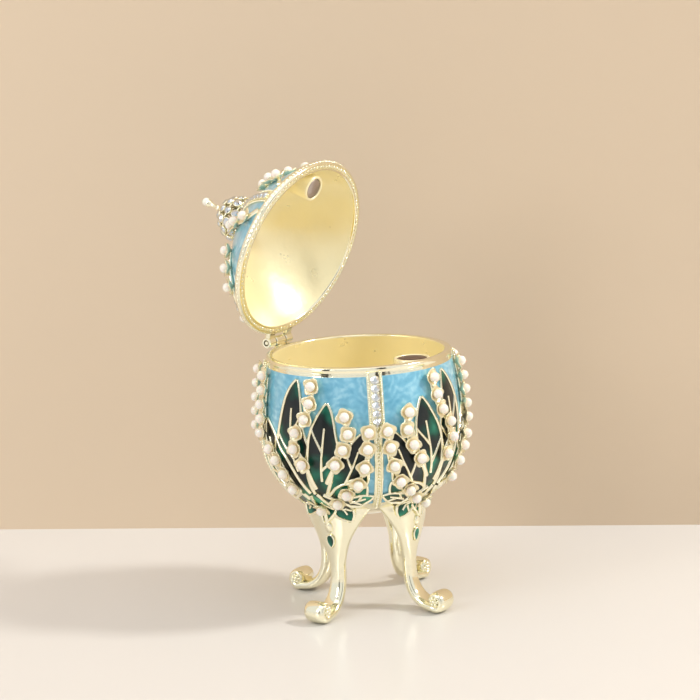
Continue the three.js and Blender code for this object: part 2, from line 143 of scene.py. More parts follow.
# A smooth curve through places, with the same number of steps between each two.
def smoothCurve(places, steps):
    p = np.asarray(places, float)
    p = np.vstack([2 * p[0] - p[1], p, 2 * p[-1] - p[-2]])
    t = np.linspace(0, 1, steps, endpoint=False)[:, None]
    parts = []
    for i in range(1, len(p) - 2):
        a, b, c, d = p[i - 1], p[i], p[i + 1], p[i + 2]
        parts.append(0.5 * (2 * b + (c - a) * t + (2 * a - 5 * b + 4 * c - d) * t ** 2
                            + (3 * b - a - 3 * c + d) * t ** 3))
    return np.vstack(parts + [p[-2:-1]])


# Points at even distances along a curve.
def evenly(curve, distances):
    walked = np.concatenate([[0], np.cumsum(np.linalg.norm(np.diff(curve, axis=0), axis=1))])
    return np.stack([np.interp(distances, walked, curve[:, k]) for k in range(curve.shape[1])], 1)


# Places along a line, one every pitch.
def strung(line, pitch):
    length = np.linalg.norm(np.diff(line, axis=0), axis=1).sum()
    return evenly(line, np.arange(0, length, pitch))


# A path straight up the skin, as (angle, height) places.
def upright(angle, low, high, count):
    return np.stack([np.full(count, float(angle)), np.linspace(low, high, count)], 1)


# Angles all the way round in even steps, and points at angles round the egg's axis.
def fullTurn(count):
    return np.linspace(0, 2 * math.pi, count, endpoint=False)


def ringAt(radius, height, angles):
    return np.stack([radius * np.cos(angles), radius * np.sin(angles),
                     np.broadcast_to(height, angles.shape)], 1)


# Places over the first leg, turned round to the leg of another quarter.
def toQuarter(places, quarter):
    turn = math.radians(90 * quarter)
    c, s = math.cos(turn), math.sin(turn)
    return places @ np.array([[c, s, 0], [-s, c, 0], [0, 0, 1]])


# Meshes and pieces.

# A loft through rings of points, as points and faces; the ends are closed unless it is a loop.
def loft(rings, loop=False):
    rings = np.asarray(rings, float)
    count, sides = rings.shape[:2]
    faces = []
    for i in range(count if loop else count - 1):
        n = (i + 1) % count
        for j in range(sides):
            k = (j + 1) % sides
            faces.append((i * sides + j, i * sides + k, n * sides + k, n * sides + j))
    if not loop:
        faces.append(tuple(range(sides))[::-1])
        faces.append(tuple(range((count - 1) * sides, count * sides)))
    return rings.reshape(-1, 3), faces


# A solid of revolution about a vertical axis, from [radius, height] pairs. The profile runs
# from axis to axis, or closes on itself when it is a ring.
def revolve(profile, segments, ring=False, centre=(0, 0)):
    turns = fullTurn(segments)
    points, faces, rows = [], [], []
    for r, z in profile:
        if r < 1e-6:
            rows.append([len(points)] * segments)
            points.append((centre[0], centre[1], z))
        else:
            rows.append(list(range(len(points), len(points) + segments)))
            points += [(centre[0] + r * math.cos(a), centre[1] + r * math.sin(a), z) for a in turns]
    if ring:
        rows.append(rows[0])
    for low, high in zip(rows, rows[1:]):
        for j in range(segments):
            k = (j + 1) % segments
            corners = [low[j], low[k], high[k], high[j]]
            face = [c for n, c in enumerate(corners) if c != corners[n - 1]]
            if len(face) > 2:
                faces.append(tuple(face))
    return np.array(points), faces


# Several sets of points and faces as one.
def together(shapes):
    points, faces, start = [], [], 0
    for p, f in shapes:
        points.append(np.asarray(p, float).reshape(-1, 3))
        faces += [tuple(i + start for i in face) for face in f]
        start += len(points[-1])
    return np.vstack(points), faces


# Turns a shape's faces outwards if its volume comes out negative.
def outward(shape):
    points, faces = shape
    points = np.asarray(points, float)
    volume = 0.0
    for face in faces:
        a = points[face[0]]
        for i in range(1, len(face) - 1):
            volume += np.dot(a, np.cross(points[face[i]], points[face[i + 1]]))
    return (points, [f[::-1] for f in faces]) if volume < 0 else (points, faces)


# An object of some data, in the scene.
def addObject(name, data):
    thing = bpy.data.objects.new(name, data)
    scene.collection.objects.link(thing)
    return thing


# A piece from its shapes, each one closed.
def addPiece(name, shapes, material, onLid=False, smooth=True):
    points, faces = together([outward(shape) for shape in shapes])
    mesh = bpy.data.meshes.new(name)
    mesh.from_pydata(inFrame(points, onLid).tolist(), [], faces)
    mesh.materials.append(material)
    mesh.polygons.foreach_set("use_smooth", [smooth] * len(mesh.polygons))
    mesh.update()
    return addObject(name, mesh)


# A shape's shading broken at edges sharper than an angle in degrees.
def sharpen(piece, angle):
    piece.data.set_sharp_from_angle(angle=math.radians(angle))
    return piece


# The body a piece moves with and the solids it stands for.
def settle(piece, body, nodes=()):
    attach(piece, body)
    if nodes:
        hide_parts(*nodes)
    return piece


# Nodes and materials.

# Adds a node. Settings are its own properties, and sockets are values or outputs to link.
def addNode(tree, kind, settings=None, sockets=None):
    node = tree.nodes.new(kind)
    for name, value in (settings or {}).items():
        if name == "stops":
            ramp = node.color_ramp.elements
            while len(ramp) < len(value):
                ramp.new(0.5)
            for element, (position, colour) in zip(ramp, value):
                element.position = position
                element.color = colour
        else:
            setattr(node, name, value)
    for name, value in (sockets or {}).items():
        if isinstance(value, bpy.types.NodeSocket):
            tree.links.new(value, node.inputs[name])
        else:
            node.inputs[name].default_value = value
    return node


# sRGB hex to linear values.
def linearColour(text):
    values = [int(text[i:i + 2], 16) / 255 for i in (1, 3, 5)]
    return [v / 12.92 if v <= 0.04045 else ((v + 0.055) / 1.055) ** 2.4 for v in values] + [1.0]


# A texture scale for features of a size in millimetres.
def featureScale(size):
    return 1000 / size


def newMaterial(name, sockets):
    material = bpy.data.materials.new(name)
    material.use_nodes = True
    tree = material.node_tree
    shader = tree.nodes["Principled BSDF"]
    for key, value in sockets.items():
        shader.inputs[key].default_value = value
    return material, tree, shader, addNode(tree, "ShaderNodeTexCoord").outputs["Object"]


# The finishes.

# Pale gold plate on cast zinc alloy: polished outside, satin from the casting inside, where a
# paler, less metallic copy adds painted light.
def giltMetal(name, colour, metallic, smoothest, roughest, unevenness):
    material, tree, shader, place = newMaterial(name, {
        "Base Color": linearColour(colour), "Metallic": metallic})
    cloud = addNode(tree, "ShaderNodeTexNoise", None, {
        "Vector": place, "Scale": featureScale(7), "Detail": 3.0})
    span = addNode(tree, "ShaderNodeMapRange", None, {
        "Value": cloud.outputs["Fac"], "From Min": 0.3, "From Max": 0.7,
        "To Min": smoothest, "To Max": roughest})
    swell = addNode(tree, "ShaderNodeTexNoise", None, {
        "Vector": place, "Scale": featureScale(3.2), "Detail": 2.0})
    bump = addNode(tree, "ShaderNodeBump", None, {
        "Height": swell.outputs["Fac"], "Strength": unevenness, "Distance": 0.0008})
    tree.links.new(span.outputs["Result"], shader.inputs["Roughness"])
    tree.links.new(bump.outputs["Normal"], shader.inputs["Normal"])
    return material


gilt = giltMetal("gilt zinc alloy, polished", "#FBF6DA", 1.0, 0.07, 0.16, 0.14)
# The inside: satin as cast, and paler and less metallic than the outside, as painted light that
# brightens the hollows.
giltInsideLit = giltMetal("gilt zinc alloy, satin inside with painted light", "#FFF5CB", 0.45, 0.26, 0.38, 0.12)
giltCups = giltMetal("gilt zinc alloy, satin cups", "#F8EDC8", 0.65, 0.24, 0.34, 0.1)

# Pearlescent blue enamel, brushed on in overlapping arcs under a clear glaze.
blueEnamel, tree, shader, place = newMaterial("blue pearl enamel", {
    "Roughness": 0.28, "Metallic": 0.12, "Coat Weight": 0.8, "Coat Roughness": 0.06})
wobble = addNode(tree, "ShaderNodeTexNoise", None, {
    "Vector": place, "Scale": featureScale(5), "Detail": 2.0})
spread = addNode(tree, "ShaderNodeVectorMath", {"operation": "SCALE"}, {
    0: wobble.outputs["Color"], "Scale": 0.004})
bent = addNode(tree, "ShaderNodeVectorMath", {"operation": "ADD"}, {
    0: place, 1: spread.outputs["Vector"]})
strokes = addNode(tree, "ShaderNodeTexVoronoi", None, {
    "Vector": bent.outputs["Vector"], "Scale": featureScale(13)})
turnCount = addNode(tree, "ShaderNodeMath", {"operation": "MULTIPLY"}, {
    0: strokes.outputs["Distance"], 1: 52.0})
wave = addNode(tree, "ShaderNodeMath", {"operation": "SINE"}, {0: turnCount.outputs["Value"]})
grain = addNode(tree, "ShaderNodeTexNoise", None, {
    "Vector": bent.outputs["Vector"], "Scale": featureScale(2.6), "Detail": 3.0})
calm = addNode(tree, "ShaderNodeMath", {"operation": "MULTIPLY_ADD"}, {
    0: grain.outputs["Fac"], 1: 0.6, 2: 0.2})
tone = addNode(tree, "ShaderNodeMath", {"operation": "MULTIPLY_ADD"}, {
    0: wave.outputs["Value"], 1: 0.048, 2: calm.outputs["Value"]})
ramp = addNode(tree, "ShaderNodeValToRGB", {"stops": [
    (0.3, linearColour("#5BA8C8")), (0.5, linearColour("#79BFDA")),
    (0.7, linearColour("#ADE0F0"))]}, {"Fac": tone.outputs["Value"]})
tree.links.new(ramp.outputs["Color"], shader.inputs["Base Color"])

# Translucent green enamel over the cast ground: nearly black, with emerald patches from noise that
# are partly painted highlights, and greener towards the bottom.
greenEnamel, tree, shader, place = newMaterial("green enamel", {
    "Roughness": 0.3, "Specular IOR Level": 0.3, "Coat Weight": 0.2, "Coat Roughness": 0.05})
# Emerald patches: partly the enamel's own green, partly painted highlights.
toneAndGlints = addNode(tree, "ShaderNodeTexNoise", None, {
    "Vector": place, "Scale": featureScale(8), "Detail": 1.5})
level = addNode(tree, "ShaderNodeSeparateXYZ", None, {"Vector": place})
# More emerald towards the bottom of the bowl.
greenerLow = addNode(tree, "ShaderNodeMapRange", None, {
    "Value": level.outputs["Z"], "From Min": 0.027, "From Max": 0.056,
    "To Min": 0.16, "To Max": 0.0})
# The share of emerald: the patches, painted highlights in part, plus the extra green low down.
depth = addNode(tree, "ShaderNodeMath", {"operation": "ADD"}, {
    0: toneAndGlints.outputs["Fac"], 1: greenerLow.outputs["Result"]})
ramp = addNode(tree, "ShaderNodeValToRGB", {"stops": [
    (0.5, linearColour("#111B1B")), (0.57, linearColour("#06352B")),
    (0.66, linearColour("#0A6650")), (0.8, linearColour("#3BA283"))]}, {
    "Fac": depth.outputs["Value"]})
tree.links.new(ramp.outputs["Color"], shader.inputs["Base Color"])

# Imitation pearl: cream lacquer with a soft gloss.
pearlCream, tree, shader, place = newMaterial("imitation pearl", {
    "Roughness": 0.2, "Coat Weight": 1.0, "Coat Roughness": 0.06, "Subsurface Weight": 0.15,
    "Subsurface Scale": 0.0006, "Specular IOR Level": 0.6})
hue = addNode(tree, "ShaderNodeTexNoise", None, {"Vector": place, "Scale": featureScale(4)})
ramp = addNode(tree, "ShaderNodeValToRGB", {"stops": [
    (0.3, linearColour("#FAF0DE")), (0.7, linearColour("#FEF7EE"))]}, {
    "Fac": hue.outputs["Fac"]})
tree.links.new(ramp.outputs["Color"], shader.inputs["Base Color"])

# Foil-backed glass stones.
crystal, tree, shader, place = newMaterial("foil-backed crystal", {
    "Base Color": linearColour("#D6DADC"), "Metallic": 1.0, "Roughness": 0.05})

# Nickel-plated magnet, and the one in the bowl, painted dark brown as the shade of the bowl's
# hollow.
magnetSilver, tree, shader, place = newMaterial("nickel-plated magnet", {
    "Base Color": linearColour("#B4A8A0"), "Metallic": 1.0, "Roughness": 0.38})
magnetShadedBrown, tree, shader, place = newMaterial("magnet with painted shade", {
    "Base Color": linearColour("#5C3F31"), "Metallic": 0.6, "Roughness": 0.35})
print("materials made")


# Node trees for repeats and wires.

# A tree with the named inputs, given as (name, kind of socket).
def newTree(name, inputs):
    tree = bpy.data.node_groups.new(name, "GeometryNodeTree")
    tree.interface.new_socket("Geometry", in_out="INPUT", socket_type="NodeSocketGeometry")
    for title, kind in inputs:
        tree.interface.new_socket(title, in_out="INPUT", socket_type=kind)
    tree.interface.new_socket("Geometry", in_out="OUTPUT", socket_type="NodeSocketGeometry")
    return tree, addNode(tree, "NodeGroupInput").outputs


# The end of every tree: real geometry, one material.
def closeTree(tree, geometry, material):
    real = addNode(tree, "GeometryNodeRealizeInstances", None, {"Geometry": geometry})
    painted = addNode(tree, "GeometryNodeSetMaterial", None, {
        "Geometry": real.outputs["Geometry"], "Material": material})
    addNode(tree, "NodeGroupOutput", None, {"Geometry": painted.outputs["Geometry"]})


# Round wire along lines of edges, as thick as each point says.
wireTree, given = newTree("wire", [("Sides", "NodeSocketInt"), ("Material", "NodeSocketMaterial")])
thickness = addNode(wireTree, "GeometryNodeInputNamedAttribute", {"data_type": "FLOAT"}, {
    "Name": "thick"})
path = addNode(wireTree, "GeometryNodeMeshToCurve", None, {"Mesh": given["Geometry"]})
circle = addNode(wireTree, "GeometryNodeCurvePrimitiveCircle", None, {
    "Resolution": given["Sides"], "Radius": 1.0})
tube = addNode(wireTree, "GeometryNodeCurveToMesh", None, {
    "Curve": path.outputs["Curve"], "Profile Curve": circle.outputs["Curve"],
    "Scale": thickness.outputs["Attribute"], "Fill Caps": True})
soft = addNode(wireTree, "GeometryNodeSetShadeSmooth", None, {"Geometry": tube.outputs["Mesh"]})
closeTree(wireTree, soft.outputs["Geometry"], given["Material"])

# Round beads on points, as large as each point says.
beadTree, given = newTree("beads", [
    ("Segments", "NodeSocketInt"), ("Rings", "NodeSocketInt"), ("Material", "NodeSocketMaterial")])
size = addNode(beadTree, "GeometryNodeInputNamedAttribute", {"data_type": "FLOAT"}, {
    "Name": "size"})
spots = addNode(beadTree, "GeometryNodeMeshToPoints", None, {"Mesh": given["Geometry"]})
ball = addNode(beadTree, "GeometryNodeMeshUVSphere", None, {
    "Segments": given["Segments"], "Rings": given["Rings"], "Radius": 1.0})
softBall = addNode(beadTree, "GeometryNodeSetShadeSmooth", None, {
    "Geometry": ball.outputs["Mesh"]})
placed = addNode(beadTree, "GeometryNodeInstanceOnPoints", None, {
    "Points": spots.outputs["Points"], "Instance": softBall.outputs["Geometry"],
    "Scale": size.outputs["Attribute"]})
closeTree(beadTree, placed.outputs["Instances"], given["Material"])

# A template on points, its Z along each point's "out" and its X along "along".
settingTree, given = newTree("setting", [
    ("Template", "NodeSocketObject"), ("Material", "NodeSocketMaterial")])
size = addNode(settingTree, "GeometryNodeInputNamedAttribute", {"data_type": "FLOAT"}, {
    "Name": "size"})
out = addNode(settingTree, "GeometryNodeInputNamedAttribute", {"data_type": "FLOAT_VECTOR"}, {
    "Name": "out"})
along = addNode(settingTree, "GeometryNodeInputNamedAttribute", {"data_type": "FLOAT_VECTOR"}, {
    "Name": "along"})
spots = addNode(settingTree, "GeometryNodeMeshToPoints", None, {"Mesh": given["Geometry"]})
standing = addNode(settingTree, "FunctionNodeAlignRotationToVector", {"axis": "Z"}, {
    "Vector": out.outputs["Attribute"]})
facing = addNode(settingTree, "FunctionNodeAlignRotationToVector", {
    "axis": "X", "pivot_axis": "Z"}, {
    "Rotation": standing.outputs["Rotation"], "Vector": along.outputs["Attribute"]})
template = addNode(settingTree, "GeometryNodeObjectInfo", None, {"Object": given["Template"]})
placed = addNode(settingTree, "GeometryNodeInstanceOnPoints", None, {
    "Points": spots.outputs["Points"], "Instance": template.outputs["Geometry"],
    "Rotation": facing.outputs["Rotation"], "Scale": size.outputs["Attribute"]})
closeTree(settingTree, placed.outputs["Instances"], given["Material"])


# Runs a tree on points, with any edges between them, and keeps the result as a plain mesh.
def grow(name, tree, points, edges, attributes, inputs):
    mesh = bpy.data.meshes.new(name)
    mesh.from_pydata(np.asarray(points).tolist(), edges, [])
    for key, values in attributes.items():
        values = np.asarray(values, dtype=np.float32)
        kind, field = ("FLOAT_VECTOR", "vector") if values.ndim == 2 else ("FLOAT", "value")
        mesh.attributes.new(key, kind, "POINT").data.foreach_set(field, values.ravel())
    piece = addObject(name, mesh)
    modifier = piece.modifiers.new("build", "NODES")
    modifier.node_group = tree
    for item in tree.interface.items_tree:
        if item.name in inputs:
            modifier[item.identifier] = inputs[item.name]
    graph = bpy.context.evaluated_depsgraph_get()
    result = bpy.data.meshes.new_from_object(piece.evaluated_get(graph), depsgraph=graph)
    piece.modifiers.remove(modifier)
    piece.data = result
    for attribute in [a.name for a in result.attributes if a.name in attributes]:
        result.attributes.remove(result.attributes[attribute])
    return piece


# Wires from (points, thicknesses) lines in millimetres.
def growWires(name, lines, material, onLid=False, sides=8):
    points = np.vstack([line for line, thick in lines])
    thick = np.concatenate([np.broadcast_to(thick, len(line)) for line, thick in lines])
    edges, start = [], 0
    for line, _ in lines:
        edges += [(i, i + 1) for i in range(start, start + len(line) - 1)]
        start += len(line)
    return grow(name, wireTree, inFrame(points, onLid), edges, {"thick": thick / 1000},
                {"Sides": sides, "Material": material})


# Beads from (points, radius) groups in millimetres.
def growBeads(name, groups, material, onLid=False, segments=16, rings=8):
    points = np.vstack([np.reshape(p, (-1, 3)) for p, r in groups])
    radii = np.concatenate([np.broadcast_to(r, len(np.reshape(p, (-1, 3)))) for p, r in groups])
    return grow(name, beadTree, inFrame(points, onLid), [], {"size": radii / 1000},
                {"Segments": segments, "Rings": rings, "Material": material})


# Templates on (points, outs, alongs, scale) groups; the template's shape is in millimetres.
def growSettings(name, shape, groups, material, onLid=False, smooth=True):
    points, faces = outward(shape)
    mesh = bpy.data.meshes.new(name + " template")
    mesh.from_pydata((points / 1000).tolist(), [], faces)
    mesh.polygons.foreach_set("use_smooth", [smooth] * len(mesh.polygons))
    pattern = addObject(name + " template", mesh)
    place = np.vstack([g[0] for g in groups])
    outs = turned(np.vstack([g[1] for g in groups]), onLid)
    alongs = turned(np.vstack([g[2] for g in groups]), onLid)
    scale = np.concatenate([np.broadcast_to(g[3], len(g[0])) for g in groups])
    piece = grow(name, settingTree, inFrame(place, onLid), [],
                 {"size": scale, "out": outs, "along": alongs},
                 {"Template": pattern, "Material": material})
    bpy.data.objects.remove(pattern)
    return piece


# The motif.

# Four quarters, one over each leg; every other one is a mirror image.
quarters = range(4)
stripAngles = [45 + 90 * q for q in quarters]


def inQuarter(quarter, places):
    places = np.asarray(places, float)
    sign = -1 if quarter % 2 else 1
    return np.stack([quarter * 90 + sign * places[:, 0], places[:, 1]], 1)


# The bowl's shell.

bowl = {"inner": 26.5, "innerLower": 21.2, "bandFoot": 72.6, "bandTop": 74.3}


# Part of the bowl's outside or inside, as (radius, height) pairs on an ellipse.
def wallProfile(reach, radius, heights):
    shares = (np.asarray(heights) - egg["girthHeight"]) / reach
    return list(zip(radius * np.sqrt(np.maximum(0, 1 - shares ** 2)), heights))


# The faces of a shell from one of its points on, in the satin gilt of the inside, made paler as
# painted light.
def gildInside(shell, firstPoint):
    shell.data.materials.append(giltInsideLit)
    for polygon in shell.data.polygons:
        if min(polygon.vertices) >= firstPoint:
            polygon.material_index = 1


low = egg["girthHeight"] - egg["lowerReach"] * np.cos(np.linspace(0, math.pi / 2, 26))
high = np.linspace(egg["girthHeight"], bowl["bandFoot"], 20)[1:]
outside = wallProfile(egg["lowerReach"], egg["girthRadius"], low)
outside += wallProfile(egg["upperReach"], egg["girthRadius"], high)
outside[0] = (0.0, egg["bottom"])
rim = [(26.34, 72.78), (26.45, 73.1), (26.3, 73.42), (26.3, 73.6), (26.44, 73.8), (26.45, 74.45),
       (26.38, 74.78), (26.15, 74.96), (25.9, 75.0), (24.95, 75.0), (24.6, 74.92), (24.42, 74.68)]
high = np.linspace(bowl["bandTop"], egg["girthHeight"], 20)
low = egg["girthHeight"] - bowl["innerLower"] * np.sin(np.linspace(0, math.pi / 2, 24))[1:]
inside = wallProfile(egg["upperReach"], bowl["inner"], high)
inside += wallProfile(bowl["innerLower"], bowl["inner"], low)
inside[-1] = (0.0, egg["bottom"] + egg["wall"])
bowlShell = addPiece("bowlShell", [revolve(outside + rim + inside, egg["segments"])], gilt)
gildInside(bowlShell, (len(outside) + len(rim) - 2) * egg["segments"])
settle(bowlShell, "base", ["bowl"])

# The blue ground, let into the wall from above the legs to the rim's band.
enamel = {"low": 35.5, "high": 72.5, "proud": 0.12, "depth": -0.5}


def enamelShape(part, levels):
    face = onSkin(part, 0, levels, enamel["proud"])
    back = onSkin(part, 0, levels[::-1], enamel["depth"])
    return revolve(np.vstack([face, back])[:, ::2], egg["segments"], ring=True)


ground = enamelShape("bowl", np.linspace(enamel["low"], enamel["high"], 40))
settle(sharpen(addPiece("bowlEnamel", [ground], blueEnamel), 50), "base")
print("bowl made")


# The legs.

leg = {
    "line": [(17.4, 34.4), (16.7, 32.2), (16.2, 28.5), (15.6, 23.5), (14.8, 18.5), (14.5, 14),
             (15, 9.3), (17, 5.5), (20.2, 3.3), (23.65, 2.68)],
    "wide": 4.8, "shieldWide": 24.6, "shieldTop": 33.0, "ankleTop": 15.0, "flare": 1.6,
    "thick": 3.1, "swell": 0.7, "thinFrom": 31.5, "thinOver": 3.0, "thinBy": 0.55,
    "toeFrom": 0.6, "toeFlare": 1.3, "sides": 32, "squareness": 2.6,
    "keel": 0.3, "keelWide": 0.16, "keelStations": 60,
}
scroll = {
    "at": (24.6, egg["floorLevel"] + 3.72), "outer": 3.72, "thick": 2.8, "wide": 7.0,
    "from": -112.5, "turn": 395, "steps": 48, "thinBy": 0.62, "narrowBy": 0.1,
    "curlBy": 0.56, "curlFrom": 0.06, "curlFlare": 0.85,
}


# One leg as (centre, width, thickness, hug) stations in its own plane, foot last. Hug is how
# far the section bends round the egg's axis.
def legStations():
    upper = smoothCurve(leg["line"], 8)[:-1]
    stations = []
    for i, place in enumerate(upper):
        rise = (place[1] - leg["ankleTop"]) / (leg["shieldTop"] - leg["ankleTop"])
        rise = min(1.0, max(0.0, rise))
        toe = max(0.0, (i / len(upper) - leg["toeFrom"]) / (1 - leg["toeFrom"]))
        flare = rise ** leg["flare"]
        above = min(1.0, max(0.0, (place[1] - leg["thinFrom"]) / leg["thinOver"]))
        wide = (leg["wide"] + (leg["shieldWide"] - leg["wide"]) * flare
                + (scroll["wide"] - leg["wide"]) * toe ** leg["toeFlare"])
        thick = ((leg["thick"] + leg["swell"] * flare) * (1 - leg["thinBy"] * above)
                 - (leg["thick"] - scroll["thick"]) * toe)
        stations.append((place, wide, thick, math.sqrt(rise)))
    for t in np.linspace(0, 1, scroll["steps"] + 1):
        turn = math.radians(scroll["from"] + scroll["turn"] * t)
        thick = scroll["thick"] * (1 - scroll["thinBy"] * t)
        curl = scroll["curlBy"] * max(0.0, t - scroll["curlFrom"]) ** scroll["curlFlare"]
        reach = scroll["outer"] * (1 - curl) - thick / 2
        centre = np.array(scroll["at"]) + reach * np.array([math.cos(turn), math.sin(turn)])
        stations.append((centre, scroll["wide"] * (1 - scroll["narrowBy"] * t), thick, 0.0))
    return stations


def legShape(quarter):
    stations = legStations()
    middle = np.array([s[0] for s in stations])
    run = np.gradient(middle, axis=0)
    run /= np.linalg.norm(run, axis=1)[:, None]
    around = fullTurn(leg["sides"])
    u, v = np.cos(around), np.sin(around)
    roundness = 2 / leg["squareness"]
    u, v = np.sign(u) * np.abs(u) ** roundness, np.sign(v) * np.abs(v) ** roundness
    rings = []
    for i, (place, wide, thick, hug) in enumerate(stations):
        # The ankle's outer face carries a keel that fades at the scroll and the shield.
        fade = max(0.0, 1 - (i / leg["keelStations"]) ** 2) * (1 - hug ** 2)
        keel = leg["keel"] * fade * np.exp(-(u / leg["keelWide"]) ** 2) * (v < 0)
        outer = np.array([-run[i, 1], run[i, 0]])
        flat = place + outer * (v * thick / 2 - keel)[:, None]
        across = u * wide / 2
        bend = hug * across / flat[:, 0]
        out, sideways = flat[:, 0] * np.cos(bend), flat[:, 0] * np.sin(bend) + (1 - hug) * across
        level = np.maximum(flat[:, 1], egg["floorLevel"])
        rings.append(toQuarter(np.stack([out, sideways, level], 1), quarter))
    return loft(rings)


settle(sharpen(addPiece("legs", [legShape(q) for q in quarters], gilt), 60), "base")

# Rosettes at both ends of each scroll, and down each leg an oval boss and a green drop.
rosette = {"sunk": 0.35, "petals": 6, "petalsAt": 1.02, "petal": 0.52, "eye": 0.7}
drop = {
    "at": (17.3, 0, 23.1), "wide": 1.2, "tall": 1.95, "lean": 0.15, "rim": 0.26, "rimProud": 0.18,
    "steps": [(1.0, -0.5), (1.0, 0.12), (0.85, 0.26), (0.5, 0.34), (0.02, 0.36)],
}
boss = {
    "at": (17.75, 0, 27.4), "wide": 1.25, "tall": 1.7,
    "steps": [(1.0, -0.4), (1.0, 0.2), (0.9, 0.48), (0.65, 0.7), (0.3, 0.82), (0.02, 0.85)],
}
legOut = np.array([math.cos(drop["lean"]), 0, -math.sin(drop["lean"])])
legRise = np.array([math.sin(drop["lean"]), 0, math.cos(drop["lean"])])
around = fullTurn(28)
dropAcross = drop["wide"] * np.sin(around) * np.abs(np.cos(around / 2)) ** 0.6 * 1.25


# An outline on the leg's outer face, from how far each point is across, up and proud of it.
def onLegFace(at, across, lift, proud):
    ring = np.array(at) + legOut * proud + np.outer(lift, legRise)
    ring[:, 1] += across
    return ring


# A low dome over an outline, as rings that shrink while they rise.
def domeShape(piece, across, lift, quarter):
    return loft([toQuarter(onLegFace(piece["at"], across * shrink, lift * shrink, proud), quarter)
                 for shrink, proud in piece["steps"]])


beads, dropShapes, bossShapes, dropWires = [], [], [], []
for q in quarters:
    for side in (-1, 1):
        face = side * (scroll["wide"] / 2 - rosette["sunk"])
        centre = np.array([scroll["at"][0], face, scroll["at"][1]])
        petals = [centre + [rosette["petalsAt"] * math.cos(a), 0, rosette["petalsAt"] * math.sin(a)]
                  for a in fullTurn(rosette["petals"])]
        beads.append((toQuarter(centre, q), rosette["eye"]))
        beads.append((toQuarter(np.array(petals), q), rosette["petal"]))
    lift = drop["tall"] * np.cos(around)
    dropShapes.append(domeShape(drop, dropAcross, lift, q))
    bossShapes.append(domeShape(boss, boss["wide"] * np.sin(around),
                                boss["tall"] * np.cos(around), q))
    edge = onLegFace(drop["at"], np.append(dropAcross, dropAcross[0]), np.append(lift, lift[0]),
                     drop["rimProud"])
    dropWires.append((toQuarter(edge, q), drop["rim"]))
settle(growBeads("scrollRosettes", beads, gilt), "base")
settle(addPiece("legDrops", dropShapes, greenEnamel), "base")
settle(addPiece("legBosses", bossShapes, gilt), "base")
settle(growWires("legDropRims", dropWires, gilt), "base")
print("legs made")


# The leaves.

# Feet and tips are (angle from the leg, height); the sizes are millimetres.
leaves = {
    "blades": [
        {"foot": (3, 37), "tip": (-3, 71.5), "bow": -7, "width": 12.0},
        {"foot": (9, 36), "tip": (17, 65.5), "bow": 0, "width": 11.0},
        {"foot": (-5, 37), "tip": (-31, 59), "bow": -4, "width": 11.5},
        {"foot": (14, 36), "tip": (36, 57), "bow": 4, "width": 10.5},
        {"foot": (-3, 35), "tip": (-33, 44), "bow": -3, "width": 9.5},
        {"foot": (6, 35), "tip": (37, 43), "bow": 4, "width": 9.5},
        {"foot": (-20, 36.5), "tip": (-42, 39.5), "bow": 0, "width": 5.5},
        {"foot": (20, 36), "tip": (42, 38.5), "bow": 0, "width": 5.5},
        {"foot": (-4, 38.5), "tip": (-24, 30.2), "bow": -1, "width": 7.5},
        {"foot": (6, 38.5), "tip": (24, 29.8), "bow": 1, "width": 7.5},
        {"foot": (1, 39), "tip": (-3, 28.8), "bow": 3, "width": 6.0},
    ],
    "proud": 0.34, "step": 0.026, "rows": 40, "columns": 6, "edge": 0.1, "crown": 0.12,
    "root": 0.4, "lobes": 1.5, "lobeDepth": 0.12, "wire": 0.6, "wireProud": 0.05,
    "vein": 0.42, "veinFoot": 1.2, "veins": (0.36, 0.56), "veinRows": 9,
    "spine": slice(10, 31), "spineShare": 0.8,
}


# A blade's middle line, and its half widths to the left and the right: it swells quickly from
# a narrow foot and closes in a point.
def bladeLine(blade, quarter, phase):
    t = np.linspace(0, 1, leaves["rows"])
    foot, tip = np.array(blade["foot"], float), np.array(blade["tip"], float)
    line = foot + np.outer(t, tip - foot)
    line[:, 0] += blade["bow"] * 4 * t * (1 - t)
    half = 0.5 * blade["width"] * np.minimum(1, 0.42 + 1.3 * t) * (1.01 - t ** 2.8) ** 0.8
    lobe = leaves["lobeDepth"] * np.sin(np.pi * t)
    left = half * (1 + lobe * np.sin(2 * np.pi * leaves["lobes"] * t + phase[0]))
    right = half * (1 + lobe * np.sin(2 * np.pi * leaves["lobes"] * t + phase[1]))
    return inQuarter(quarter, line), left, right


# Points on the skin laid flat about a middle angle, and which of them an outline covers.
def laidFlat(points, middle):
    angle = np.degrees(np.arctan2(points[:, 1], points[:, 0])) - middle
    return np.stack([(angle + 180) % 360 - 180, points[:, 2]], 1)


def covered(points, outline):
    x, z = points[:, :1], points[:, 1:]
    x0, z0 = outline.T
    x1, z1 = np.roll(outline, -1, axis=0).T
    crossing = (z0 > z) != (z1 > z)
    meet = x0 + (x1 - x0) * (z - z0) / np.where(z1 == z0, 1e-9, z1 - z0)
    return (crossing & (x < meet)).sum(1) % 2 == 1


# The parts of a line that no outline covers.
def openRuns(line, thick, middle, outlines):
    flat = laidFlat(line, middle)
    hidden = np.zeros(len(line), bool)
    for outline in outlines:
        hidden |= covered(flat, outline)
    runs, start = [], None
    for i, under in enumerate(np.append(hidden, True)):
        if not under and start is None:
            start = i
        elif under and start is not None:
            if i - start > 1:
                runs.append((line[start:i], thick[start:i]))
            start = None
    return runs


